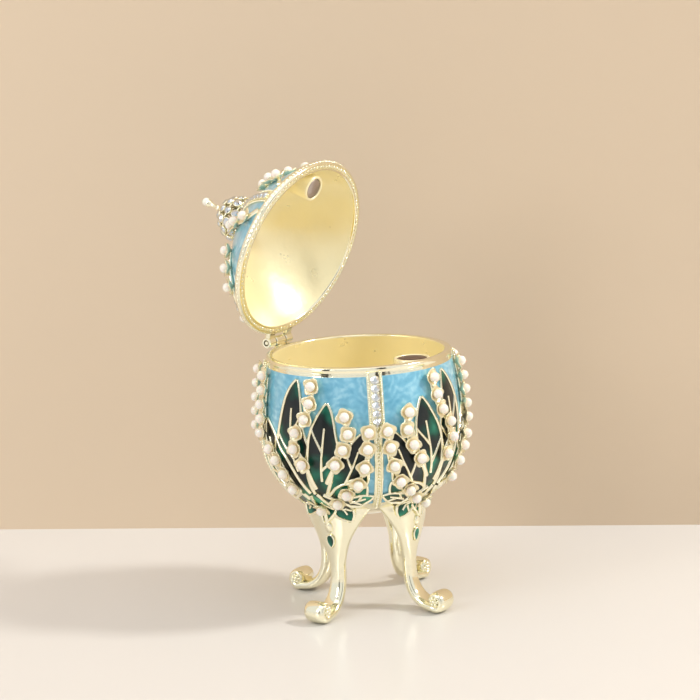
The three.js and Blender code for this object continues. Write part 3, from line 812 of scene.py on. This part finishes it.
# Each blade lies over the ones before it.
bladeShapes, bladeWires = [], []
for q in quarters:
    blades = [bladeLine(blade, q, chance.uniform(0, 2 * np.pi, 2)) for blade in leaves["blades"]]
    outlines = [laidFlat(np.vstack([
        besidePath("shield", line, -left, 0.5), besidePath("shield", line, right, 0.5)[::-1]]),
        90 * q) for line, left, right in blades]
    for n, (line, left, right) in enumerate(blades):
        proud = leaves["proud"] + leaves["step"] * n
        columns = []
        for j in range(leaves["columns"] + 1):
            f = 2 * j / leaves["columns"] - 1
            offset = np.where(f < 0, f * left, f * right)
            height = proud + leaves["crown"] * (1 - f * f) - leaves["edge"]
            columns.append(besidePath("shield", line, offset, height))
        for offset in (right, -left):
            columns.append(besidePath("shield", line, offset, -leaves["root"]))
        bladeShapes.append(loft(np.stack(columns, 1)))
        t = np.linspace(0, 1, leaves["rows"])
        thick = leaves["wire"] * (1.15 - 0.5 * t)
        lift = proud + leaves["wireProud"]
        core = besidePath("shield", line, 0 * left, lift)
        lines = [(besidePath("shield", line, -left, lift), thick),
                 (besidePath("shield", line, right, lift), thick),
                 (core[leaves["spine"]], leaves["spineShare"] * thick[leaves["spine"]])]
        for k, at in enumerate(leaves["veins"]):
            side, half = ((-1, left), (1, right))[(k + n) % 2]
            start = int(at * (leaves["rows"] - 1))
            span = np.arange(start, start + leaves["veinRows"])
            share = np.linspace(0, 1, len(span))
            whole = besidePath("shield", line, side * half, lift)
            vein = core[span] * (1 - share[:, None]) + whole[span] * share[:, None]
            lines.append((vein, leaves["vein"] * (leaves["veinFoot"] - 0.4 * share)))
        for path, width in lines:
            bladeWires += openRuns(path, width, 90 * q, outlines[n + 1:])
settle(sharpen(addPiece("leafEnamel", bladeShapes, greenEnamel), 40), "base")
settle(growWires("leafWires", bladeWires, gilt, sides=6), "base")
print("leaves made")


# The sprays of pearls.

pearl = {"radius": 1.4, "stand": 2.28, "lidStand": 2.2, "segments": 24, "rings": 14}
stem = {"thick": 0.68, "foot": 1.15, "taper": 0.45, "proud": 0.35, "arch": 0.35, "steps": 6}
bowlSprays = [
    {"root": [(-19, 42), (-28, 49)],
     "pearls": [(-34.5, 54.5), (-34, 58.5), (-34.5, 62.5), (-34, 66.5), (-34.5, 70.5)]},
    {"root": [(-6, 37)], "pearls": [(-11, 41), (-14, 45), (-18, 48.5), (-23.5, 51)]},
    {"root": [(5, 41)],
     "pearls": [(2, 48.5), (-3, 52.5), (-1.5, 57), (4.5, 61), (7.5, 65.3), (8.5, 70)]},
    {"root": [(14, 43)], "pearls": [(21.5, 49), (26, 53), (29, 57.3), (27.5, 62)]},
    {"root": [(10, 35)],
     "pearls": [(18, 37.5), (25.5, 40.5), (33, 43.5), (37, 48), (39, 53), (40, 57.5)]},
    {"root": [(0, 29)], "pearls": [(0, 34.5)]},
]
lidSprays = [
    {"root": [(-34, 2.6)], "pearls": [(-26, 5), (-18, 8.5), (-8, 11)]},
    {"root": [(34, 2.6)], "pearls": [(26, 6), (19, 11), (12, 14.5)]},
]

# A calyx round the lower half of a pearl: four lobes turned up from a small foot. The profile
# is (radius, height, share of the lobes).
cup = {
    "segments": 32, "lobe": 0.28, "lift": 0.22,
    "profile": [(0.02, -2.1, 0), (0.55, -2.05, 0), (0.75, -1.6, 0), (1.4, -1.3, 0.2),
                (2.05, -0.9, 0.8), (2.4, -0.5, 1.0), (2.34, -0.28, 1.0),
                (1.85, -0.62, 0.7), (1.1, -1.05, 0.1), (0.02, -1.2, 0)],
}


def cupShape():
    a = fullTurn(cup["segments"])
    lobe = np.cos(4 * a)
    rings = []
    for r, z, share in cup["profile"]:
        rings.append(ringAt(r + cup["lobe"] * share * lobe, z + cup["lift"] * share * lobe, a))
    return loft(rings)


# Stems, pearls and cups of the sprays on the bowl or the lid.
def sprayParts(part, sprays, stand):
    ground = "shield" if part == "bowl" else part
    stems, centres, outs, alongs = [], [], [], []
    for q in quarters:
        for spray in sprays:
            places = inQuarter(q, spray["root"] + spray["pearls"])
            line = smoothCurve(places, stem["steps"])
            t = np.linspace(0, 1, len(line))
            lift = stem["proud"] + stem["arch"] * np.sin(np.pi * t)
            thick = stem["thick"] * (stem["foot"] - stem["taper"] * t)
            stems.append((onSkin(ground, line[:, 0], line[:, 1], lift), thick))
            spots = inQuarter(q, spray["pearls"])
            normals = skinNormal(part, spots[:, 0], spots[:, 1])
            at = onSkin(part, spots[:, 0], spots[:, 1], stand)
            centres.append(at)
            outs.append(normals)
            tilt = chance.uniform(0, math.pi / 2, len(at))
            side = np.cross(up, normals)
            side /= np.linalg.norm(side, axis=1)[:, None]
            rise = np.cross(normals, side)
            alongs.append(side * np.cos(tilt)[:, None] + rise * np.sin(tilt)[:, None])
    return stems, np.vstack(centres), np.vstack(outs), np.vstack(alongs)


pearlNodes = {
    "bowl": [f"bowl_spray_{q + 1}_{i + 1}" for q in quarters for i in range(5)]
    + [f"bowl_pearl_{q + 1}_1" for q in quarters],
    "lid": [f"lid_spray_{q + 1}_{i + 1}" for q in quarters for i in range(2)],
}
for part, body, sprays, stand in (("bowl", "base", bowlSprays, pearl["stand"]),
                                  ("lid", "lid", lidSprays, pearl["lidStand"])):
    onLid = part == "lid"
    stems, centres, outs, alongs = sprayParts(part, sprays, stand)
    settle(growBeads(part + "Pearls", [(centres, pearl["radius"])], pearlCream, onLid,
                     pearl["segments"], pearl["rings"]), body, pearlNodes[part])
    settle(growSettings(part + "PearlCups", cupShape(), [(centres, outs, alongs, 1.0)],
                        giltCups, onLid), body)
    settle(growWires(part + "Stems", stems, gilt, onLid), body)
print("pearls made")


# The jewelled strips.

stone = {"radius": 1.15, "table": 0.6, "back": 0.35, "girdle": 0.2, "top": 0.62, "pitch": 2.35,
         "proud": 0.78}


# A round stone with a table, eight star facets, a crown and a flat back.
def stoneShape():
    points = np.vstack([
        [(0.0, 0.0, -stone["back"])], ringAt(stone["radius"], 0.0, fullTurn(16)),
        ringAt(stone["radius"], stone["girdle"], fullTurn(16)),
        ringAt(stone["table"], stone["top"], fullTurn(8))])
    faces = []
    for j in range(16):
        k = (j + 1) % 16
        faces.append((0, 1 + k, 1 + j))
        faces.append((1 + j, 1 + k, 17 + k, 17 + j))
    for j in range(8):
        k = (j + 1) % 8
        a, b, c = 17 + 2 * j, 17 + (2 * j + 1) % 16, 17 + (2 * j + 2) % 16
        faces.append((a, b, 33 + j))
        faces.append((b, c, 33 + k))
        faces.append((33 + j, b, 33 + k))
    faces.append(tuple(range(33, 41)))
    return points, faces


# The wall round a stone.
bezelShape = revolve([(1.1, -0.45), (1.3, -0.45), (1.28, 0.08), (1.2, 0.18), (1.1, 0.12)], 20,
                     ring=True)


# A row of touching stones up the skin between two heights: centres, outs, alongs and size.
def stoneRow(part, angle, first, last, count):
    path = onSkin(part, angle, np.linspace(first, last, 500), stone["proud"])
    distances = stone["pitch"] * (np.arange(count) + 0.5)
    spots = evenly(path, distances)
    normals = skinNormal(part, angle, spots[:, 2] - baseOf(part))
    along = evenly(path, distances + 0.05) - evenly(path, distances - 0.05)
    return spots, normals, along / (np.linalg.norm(along, axis=1)[:, None] + 1e-9), 1.0


# A line beside a path up the skin.
def sideLine(part, path, offset, proud):
    return besidePath(part, path, np.full(len(path), offset), proud)


# A raised flat plate up the skin.
def stripPlate(part, angle, low, high, width, proud):
    path = upright(angle, low, high, 24)
    corners = [(-0.5, -0.5), (-0.5, proud - 0.1), (-0.44, proud), (0.44, proud),
               (0.5, proud - 0.1), (0.5, -0.5)]
    return loft(np.stack([sideLine(part, path, f * width, p) for f, p in corners], 1))


bowlStrip = {
    "top": 73.6, "stoneEnd": 58.2, "end": 34.0, "width": 4.4, "footWidth": 2.4, "proud": 0.45,
    "first": 72.6, "last": 40, "stones": 6, "rail": 0.34, "railAt": 1.72, "railPitch": 0.62,
    "railProud": 0.62, "bead": 0.46, "beadPitch": 1.0, "beadProud": 0.5, "wire": 0.26,
    "wireAt": 0.95, "wireProud": 0.42, "prong": 0.3, "prongAt": 0.85, "prongProud": 0.1,
}
plates, rails, beads, stones = [], [], [], []
for angle in stripAngles:
    plates.append(stripPlate("bowl", angle, bowlStrip["stoneEnd"], bowlStrip["top"],
                             bowlStrip["width"], bowlStrip["proud"]))
    plates.append(stripPlate("bowl", angle, bowlStrip["end"], bowlStrip["stoneEnd"] + 0.5,
                             bowlStrip["footWidth"], bowlStrip["proud"] - 0.1))
    stones.append(stoneRow("bowl", angle, bowlStrip["first"], bowlStrip["last"],
                           bowlStrip["stones"]))
    spots, normals, along, size = stones[-1]
    side = np.cross(normals, along)
    gaps = spots + along * stone["pitch"] / 2
    beside = upright(angle, bowlStrip["top"], bowlStrip["stoneEnd"] + 0.3, 26)
    below = upright(angle, bowlStrip["stoneEnd"], bowlStrip["end"], 30)
    for f in (-1, 1):
        prongs = gaps - f * side * bowlStrip["prongAt"] + normals * bowlStrip["prongProud"]
        beads.append((prongs, bowlStrip["prong"]))
        edge = sideLine("bowl", beside, f * bowlStrip["railAt"], bowlStrip["railProud"])
        beads.append((strung(edge, bowlStrip["railPitch"]), bowlStrip["rail"]))
        edge = sideLine("bowl", below, f * bowlStrip["wireAt"], bowlStrip["wireProud"])
        rails.append((edge, bowlStrip["wire"]))
    heights = np.linspace(bowlStrip["stoneEnd"] - 0.3, bowlStrip["end"], 300)
    middle = onSkin("bowl", angle, heights, bowlStrip["beadProud"])
    beads.append((strung(middle, bowlStrip["beadPitch"]), bowlStrip["bead"]))
settle(sharpen(addPiece("bowlStripPlates", plates, gilt), 40), "base")
settle(growWires("bowlStripRails", rails, gilt), "base")
settle(growBeads("bowlStripBeads", beads, gilt, segments=12, rings=7), "base")
settle(growSettings("bowlStones", stoneShape(), stones, crystal, smooth=False), "base",
       [f"bowl_stones_{i + 1}" for i in range(4)])
settle(growSettings("bowlStoneBezels", bezelShape, stones, gilt), "base")

lidStrip = {
    "low": 1.9, "high": 18.6, "width": 4.2, "proud": 0.45, "first": 3.0, "last": 19.6,
    "stones": 10, "edge": 1.85, "bead": 0.33, "beadPitch": 0.78, "beadProud": 0.55,
}
plates, beads, stones = [], [], []
for angle in stripAngles:
    plates.append(stripPlate("lid", angle, lidStrip["low"], lidStrip["high"],
                             lidStrip["width"], lidStrip["proud"]))
    stones.append(stoneRow("lid", angle, lidStrip["first"], lidStrip["last"],
                           lidStrip["stones"]))
    beside = upright(angle, lidStrip["low"], lidStrip["high"], 60)
    for f in (-1, 1):
        edge = sideLine("lid", beside, f * lidStrip["edge"], lidStrip["beadProud"])
        beads.append((strung(edge, lidStrip["beadPitch"]), lidStrip["bead"]))
settle(sharpen(addPiece("lidStripPlates", plates, gilt, True), 40), "lid")
settle(growBeads("lidStripBeads", beads, gilt, True, 10, 6), "lid")
settle(growSettings("lidStones", stoneShape(), stones, crystal, True, smooth=False),
       "lid", [f"lid_stones_{i + 1}" for i in range(4)])
settle(growSettings("lidStoneBezels", bezelShape, stones, gilt, True), "lid")
print("strips made")


# The lid.

lid = {"inner": 24.2, "innerRise": 18.2, "bandTop": 2.3}
base = egg["lidBase"]
levels = egg["lidRise"] * np.sin(np.linspace(math.pi / 2, 0, 44))
dome = [(domeRadius(z, egg["lidRise"], egg["rimRadius"]), base + z) for z in levels
        if z > lid["bandTop"]]
dome[0] = (0.0, base + egg["lidRise"])
edge = [(25.75, 2.12), (26.35, 2.02), (26.62, 1.8), (26.7, 1.45), (26.7, 0.5), (26.58, 0.14),
        (26.3, 0.0), (26.0, 0.0), (25.88, 0.3), (24.98, 0.3), (24.86, 0.0), (24.6, 0.0),
        (24.3, 0.12), (24.18, 0.4)]
dome += [(r, base + z) for r, z in edge]
levels = lid["innerRise"] * np.sin(np.linspace(0.05, math.pi / 2, 40))
hollow = [(domeRadius(z, lid["innerRise"], lid["inner"]), base + z) for z in levels]
hollow[-1] = (0.0, base + lid["innerRise"])
lidShell = addPiece("lidShell", [revolve(dome + hollow, egg["segments"])], gilt, True)
gildInside(lidShell, 1 + (len(dome) - 2) * egg["segments"])
settle(sharpen(lidShell, 50), "lid", ["lid"])

# The lid's blue ground, from the band to the crown's foot, with closer steps near the top.
ground = enamelShape("lid", np.concatenate([
    np.linspace(2.4, 12, 20), np.linspace(12, 19.0, 24)[1:]]))
settle(sharpen(addPiece("lidEnamel", [ground], blueEnamel, True), 50), "lid")

# Milgrain round the lid's outer edge and on its flat face, as (radius, height, bead's radius).
milgrain = {"count": 116, "edge": (26.42, 0.95, 0.58), "face": (25.43, 0.36, 0.46)}
grains = [(ringAt(out, base + height, fullTurn(milgrain["count"])), size)
          for out, height, size in (milgrain["edge"], milgrain["face"])]
settle(growBeads("lidMilgrain", grains, gilt, True, 10, 6), "lid")
print("lid made")


# The crown and its finial.

crown = {
    "foot": 19.4, "inner": 4.2, "outer": 5.6, "tall": 1.2, "bulge": 5.9, "top": 30.6,
    "arches": 6, "wire": 0.5, "thinWire": 0.32, "thinIn": 0.96,
    "stoneShares": (0.26, 0.48, 0.7), "thinStoneShares": (0.15, 0.37, 0.59),
    "stoneProud": 0.55, "stoneSize": 1.1, "thinStoneSize": 0.95, "bead": 0.34, "beadProud": 0.4,
    "hoops": [(2.7, 5.75), (5.6, 5.75), (8.1, 4.0)], "hoopWire": 0.34,
    "footBeads": 26, "footBead": 0.5, "footBeadAt": (5.85, 0.4), "ballAt": 36.9, "ball": 1.24,
}
middle = (crown["inner"] + crown["outer"]) / 2
archPath = smoothCurve([(middle, crown["foot"] + 0.6), (crown["bulge"], crown["foot"] + 4.4),
                        (crown["bulge"] - 1.6, crown["foot"] + 8), (0.7, crown["top"] - 0.7)], 9)
foot = base + crown["foot"]
wires, stones, beads = [], [], []
for i in range(2 * crown["arches"]):
    a = math.pi * i / crown["arches"]
    main = i % 2 == 0
    spread = archPath[:, 0] * (1.0 if main else crown["thinIn"])
    arch = np.stack([spread * math.cos(a), spread * math.sin(a), base + archPath[:, 1]], 1)
    wires.append((arch, crown["wire"] if main else crown["thinWire"]))
    walked = np.concatenate([[0], np.cumsum(np.linalg.norm(np.diff(arch, axis=0), axis=1))])
    along = np.gradient(arch, axis=0)
    along /= np.linalg.norm(along, axis=1)[:, None]
    out = np.cross([-math.sin(a), math.cos(a), 0], along)
    out *= np.sign((out * [math.cos(a), math.sin(a), 0.3]).sum(1))[:, None]
    shares = crown["stoneShares"] if main else crown["thinStoneShares"]
    at = np.array([np.searchsorted(walked, s * walked[-1]) for s in shares])
    stones.append((arch[at] + out[at] * crown["stoneProud"], out[at], along[at],
                   crown["stoneSize"] if main else crown["thinStoneSize"]))
    beads.append((arch[at + 2] + out[at + 2] * crown["beadProud"], crown["bead"]))
for height, radius in crown["hoops"]:
    hoop = ringAt(radius, foot + height, np.linspace(0, 2 * math.pi, 49))
    wires.append((hoop, crown["hoopWire"]))
beads.append((ringAt(crown["footBeadAt"][0], foot + crown["footBeadAt"][1],
                     fullTurn(crown["footBeads"])), crown["footBead"]))
ringShape = revolve([
    (crown["inner"], foot - 0.5), (crown["outer"], foot - 0.8), (crown["outer"] + 0.15, foot + 0.3),
    (crown["outer"] + 0.15, foot + 0.9), (crown["outer"], foot + crown["tall"]),
    (crown["inner"], foot + crown["tall"])], 48, ring=True)
top = base + crown["top"]
ballFoot = base + crown["ballAt"] - crown["ball"]
stemShape = revolve([
    (0, top - 1.7), (1.5, top - 1.7), (1.75, top - 0.8), (1.6, top), (0.85, top + 0.5),
    (0.7, top + 1.2), (0.95, top + 1.7), (0.7, top + 2.2), (0.62, ballFoot - 1.3),
    (0.8, ballFoot - 0.8), (1.15, ballFoot - 0.25), (1.2, ballFoot + 0.35),
    (1.02, ballFoot + 0.4), (0.8, ballFoot + 0.05), (0, ballFoot - 0.15)], 24)
settle(growWires("crownWires", wires, gilt, True), "lid", ["crown"])
settle(sharpen(addPiece("crownTurnings", [ringShape, stemShape], gilt, True), 50), "lid")
settle(growSettings("crownStones", stoneShape(), stones, crystal, True, smooth=False),
       "lid")
settle(growSettings("crownBezels", bezelShape, stones, gilt, True), "lid")
settle(growBeads("crownBeads", beads, gilt, True, 10, 6), "lid")
settle(growBeads("finialPearl", [(np.array([[0, 0, base + crown["ballAt"]]]), crown["ball"])],
                 pearlCream, True, 32, 18), "lid", ["finial_pearl"])
print("crown made")


# The hinge and the magnets.

joint = {"radius": 1.6, "bore": 0.9, "pin": 0.6, "bowlLong": 4.2, "lidLong": 3.0, "gap": 0.3,
         "bracketTall": 5.0, "earReach": 4.4, "earTall": 1.7, "chamfer": 0.2}
centreY, centreZ = egg["hingeOut"], egg["rimHeight"] + egg["hingeUp"]


# A turned shape laid along the hinge's axis, its middle at x.
def alongHinge(turnedShape, x):
    points, faces = turnedShape
    return np.stack([points[:, 2] + x, points[:, 0] + centreY, points[:, 1] + centreZ], 1), faces


# A knuckle's barrel with chamfered ends and a hole through it.
def barrel(x, long):
    outer, end = joint["radius"], long / 2
    inset = outer - joint["chamfer"]
    profile = [(joint["bore"], -end), (inset, -end), (outer, joint["chamfer"] - end),
               (outer, end - joint["chamfer"]), (inset, end), (joint["bore"], end)]
    return alongHinge(revolve(profile, 32, ring=True), x)


# A block with rounded corners, from one corner to the other.
def block(low, high, corner=0.35):
    low, high = np.array(low, float), np.array(high, float)
    rings = []
    c = corner
    for x, inset in ((low[0], c), (low[0] + c, 0), (high[0] - c, 0), (high[0], c)):
        y0, y1, z0, z1 = low[1] + inset, high[1] - inset, low[2] + inset, high[2] - inset
        rings.append([(x, y0 + c, z0), (x, y1 - c, z0), (x, y1, z0 + c), (x, y1, z1 - c),
                      (x, y1 - c, z1), (x, y0 + c, z1), (x, y0, z1 - c), (x, y0, z0 + c)])
    return loft(rings)


half = joint["bowlLong"] / 2
bracket = block((-half, egg["rimRadius"] - 0.9, egg["rimHeight"] - joint["bracketTall"]),
                (half, centreY, egg["rimHeight"]))
settle(sharpen(addPiece("bowlKnuckle", [barrel(0, joint["bowlLong"]), bracket], gilt), 40),
       "base")
ears = []
for side in (-1, 1):
    x = side * (half + joint["gap"] + joint["lidLong"] / 2)
    ears.append(barrel(x, joint["lidLong"]))
    ears.append(block((x - joint["lidLong"] / 2, centreY - joint["earReach"], base),
                      (x + joint["lidLong"] / 2, centreY - 1.2, base + joint["earTall"])))
settle(sharpen(addPiece("lidKnuckles", ears, gilt, True), 40), "lid")
pinEnd = half + joint["gap"] + joint["lidLong"]
pinShape = revolve([(0, -pinEnd), (joint["pin"] - 0.1, -pinEnd), (joint["pin"], 0.1 - pinEnd),
                    (joint["pin"], pinEnd - 0.1), (joint["pin"] - 0.1, pinEnd), (0, pinEnd)], 24)
settle(sharpen(addPiece("hingePin", [alongHinge(pinShape, 0)], gilt), 40), "base",
       ["hinge_pin"])

# Magnet seats: a post up into the lid's dome, and a seat on a shelf inside the bowl.
magnet = {"out": 18.5, "lid": 2.8, "bowl": 4.1, "thick": 1.0, "inset": 0.6, "gap": 0.3,
          "wall": 0.7, "sunk": 0.15, "fit": 0.12, "postTall": 12, "domeGap": 0.9,
          "shelfTall": 2.6, "shelfThick": 1.0, "shelfHalf": 4.0}
seatAt = (0.0, -magnet["out"])


# A post with a pocket in one end: face is that end's height and deep the way to the other.
def seatShape(radius, face, deep, floor):
    outer = radius + magnet["gap"] + magnet["wall"]
    pocket = radius + magnet["fit"]
    s = math.copysign(1, deep)
    return revolve([(0, face + deep), (outer, face + deep), (outer, face + 0.3 * s),
                    (outer - 0.1, face + 0.1 * s), (outer - 0.3, face),
                    (pocket + 0.25, face), (pocket + 0.06, face + 0.1 * s),
                    (pocket, face + 0.3 * s), (pocket, face + floor * s), (0, face + floor * s)],
                   48, centre=seatAt)


def discShape(radius, low, edge=0.15):
    high = low + magnet["thick"]
    return revolve([(0, low), (radius - edge, low), (radius, low + edge), (radius, high - edge),
                    (radius - edge, high), (radius * 0.5, high), (0, high)], 48, centre=seatAt)


lidFace = base + magnet["inset"]
bowlFace = egg["rimHeight"] - magnet["inset"]
shelfFoot = bowlFace - magnet["shelfTall"]
floor = magnet["thick"] + magnet["gap"]
postPoints, postFaces = seatShape(magnet["lid"], lidFace, magnet["postTall"], floor)
ceiling = domeHeight(np.hypot(postPoints[:, 0], postPoints[:, 1]),
                     egg["lidRise"] - magnet["domeGap"], egg["rimRadius"] - magnet["domeGap"])
postPoints[:, 2] = np.minimum(postPoints[:, 2], base + ceiling)
settle(sharpen(addPiece("lidMagnetSeat", [(postPoints, postFaces)], giltInsideLit, True), 50),
       "lid")
settle(sharpen(addPiece("bowlMagnetSeat", [
    seatShape(magnet["bowl"], bowlFace, -magnet["shelfTall"], floor),
    block((-magnet["shelfHalf"], magnet["domeGap"] - egg["rimRadius"], shelfFoot),
          (magnet["shelfHalf"], -magnet["out"], shelfFoot + magnet["shelfThick"]), 0.2)],
    giltInsideLit), 50), "base")
lidDisc = discShape(magnet["lid"], lidFace + magnet["sunk"])
bowlDisc = discShape(magnet["bowl"], bowlFace - magnet["sunk"] - magnet["thick"])
settle(sharpen(addPiece("lidMagnet", [lidDisc], magnetSilver, True), 50), "lid",
       ["lid_magnet"])
# The bowl's magnet is painted dark brown as shade.
settle(sharpen(addPiece("bowlMagnet", [bowlDisc], magnetShadedBrown), 50), "base",
       ["bowl_magnet"])
print("hinge and magnets made")


# The stage.

stage = {
    "floor": "#DEDBD7", "wall": "#DCC7AC", "flag": "#14120F", "wallBehind": 78.85,
    "wallTurn": -8.53, "wallTall": 2000.0, "half": 2600.0, "flagTall": 800.0,
    "flags": [("flagRight", 330, -620, 150), ("flagLeft", -430, -480, 130)],
}
heading = math.radians(-53.44)

boardTop, tree, shader, place = newMaterial("cream gloss board", {
    "Base Color": linearColour(stage["floor"]), "Roughness": 0.24, "Specular IOR Level": 0.5})
paintedWall, tree, shader, place = newMaterial("painted wall", {
    "Base Color": linearColour(stage["wall"]), "Roughness": 0.9})


def addCard(name, corners, material):
    mesh = bpy.data.meshes.new(name)
    mesh.from_pydata([tuple(np.array(c) / 1000) for c in corners], [], [(0, 1, 2, 3)])
    mesh.materials.append(material)
    addObject(name, mesh)


# A point in the camera's own ground plan, egg at the middle and camera towards -Y, in the frame.
def fromPlan(x, y, z):
    c, s = math.cos(heading), math.sin(heading)
    return np.array([x * c - y * s, x * s + y * c + axisY, z])


# An upright card from one place in the plan to another.
def addUpright(name, start, end, tall, material):
    addCard(name, [fromPlan(*start, 0), fromPlan(*end, 0), fromPlan(*end, tall),
                   fromPlan(*start, tall)], material)


half = stage["half"]
addCard("floor", [(-half, -half, 0), (half, -half, 0), (half, half, 0), (-half, half, 0)],
        boardTop)
wallTurn = math.radians(stage["wallTurn"])
wallMiddle = np.array([0, stage["wallBehind"]])
wallRun = half * np.array([math.cos(wallTurn), math.sin(wallTurn)])
addUpright("wall", wallMiddle - wallRun, wallMiddle + wallRun, stage["wallTall"], paintedWall)

# Two dark flags beside the camera draw dark streaks down the polished metal.
flagBlack, tree, shader, place = newMaterial("black flag", {
    "Base Color": linearColour(stage["flag"]), "Roughness": 0.9})
for name, x, y, wide in stage["flags"]:
    run = np.array([-y, x]) / math.hypot(x, y) * wide / 2
    addUpright(name, (x, y) - run, (x, y) + run, stage["flagTall"], flagBlack)


# The lights and the camera.

# Stands a thing at a place in millimetres, with its own axes as columns.
def standAt(thing, axes, place):
    rows = np.vstack([np.column_stack([axes, place / 1000]), [0, 0, 0, 1]])
    thing.matrix_world = Matrix(rows.tolist())


def addLight(name, place, target, size, power, colour):
    data = bpy.data.lights.new(name, "AREA")
    data.shape = "RECTANGLE"
    data.size, data.size_y = size[0] / 1000, size[1] / 1000
    data.energy = power
    data.color = linearColour(colour)[:3]
    at, to = fromPlan(*place), fromPlan(*target)
    z = (at - to) / np.linalg.norm(at - to)
    x = np.cross(up, z)
    x /= np.linalg.norm(x)
    standAt(addObject(name, data), np.column_stack([x, np.cross(z, x), z]), at)


addLight("key", (850, -150, 760), (0, 0, 50), (140, 140), 7.4, "#FFFDF8")
addLight("above", (-100, -150, 1100), (0, 0, 50), (900, 900), 2.0, "#FFFFFF")
addLight("front", (-800, -700, 600), (-100, 70, 60), (500, 700), 5.5, "#FFFFFF")

world = bpy.data.worlds.new("room")
world.use_nodes = True
room = world.node_tree.nodes["Background"].inputs
room["Color"].default_value = linearColour("#FBFCFF")
room["Strength"].default_value = 0.86
scene.world = world
scene.view_settings.view_transform = "Standard"

view = {"away": 596.94, "height": 187.08, "pan": -0.23, "tilt": 10.72, "roll": -2.75,
        "lens": 109.78}
cameraData = bpy.data.cameras.new("camera")
cameraData.lens = view["lens"]
cameraData.sensor_width = 36
cameraData.clip_start, cameraData.clip_end = 0.02, 20
camera = addObject("camera", cameraData)
pan, tilt, roll = (math.radians(view[k]) for k in ("pan", "tilt", "roll"))
forward = np.array([math.sin(pan) * math.cos(tilt), math.cos(pan) * math.cos(tilt),
                    -math.sin(tilt)])
across = np.cross(forward, up)
across /= np.linalg.norm(across)
upward = np.cross(across, forward)
across, upward = (across * math.cos(roll) + upward * math.sin(roll),
                  upward * math.cos(roll) - across * math.sin(roll))
turnPlan = np.array([[math.cos(heading), -math.sin(heading), 0],
                     [math.sin(heading), math.cos(heading), 0], [0, 0, 1]])
standAt(camera, turnPlan @ np.column_stack([across, upward, -forward]),
        fromPlan(0, -view["away"], view["height"]))
bpy.context.scene.camera = camera

print("stage made")
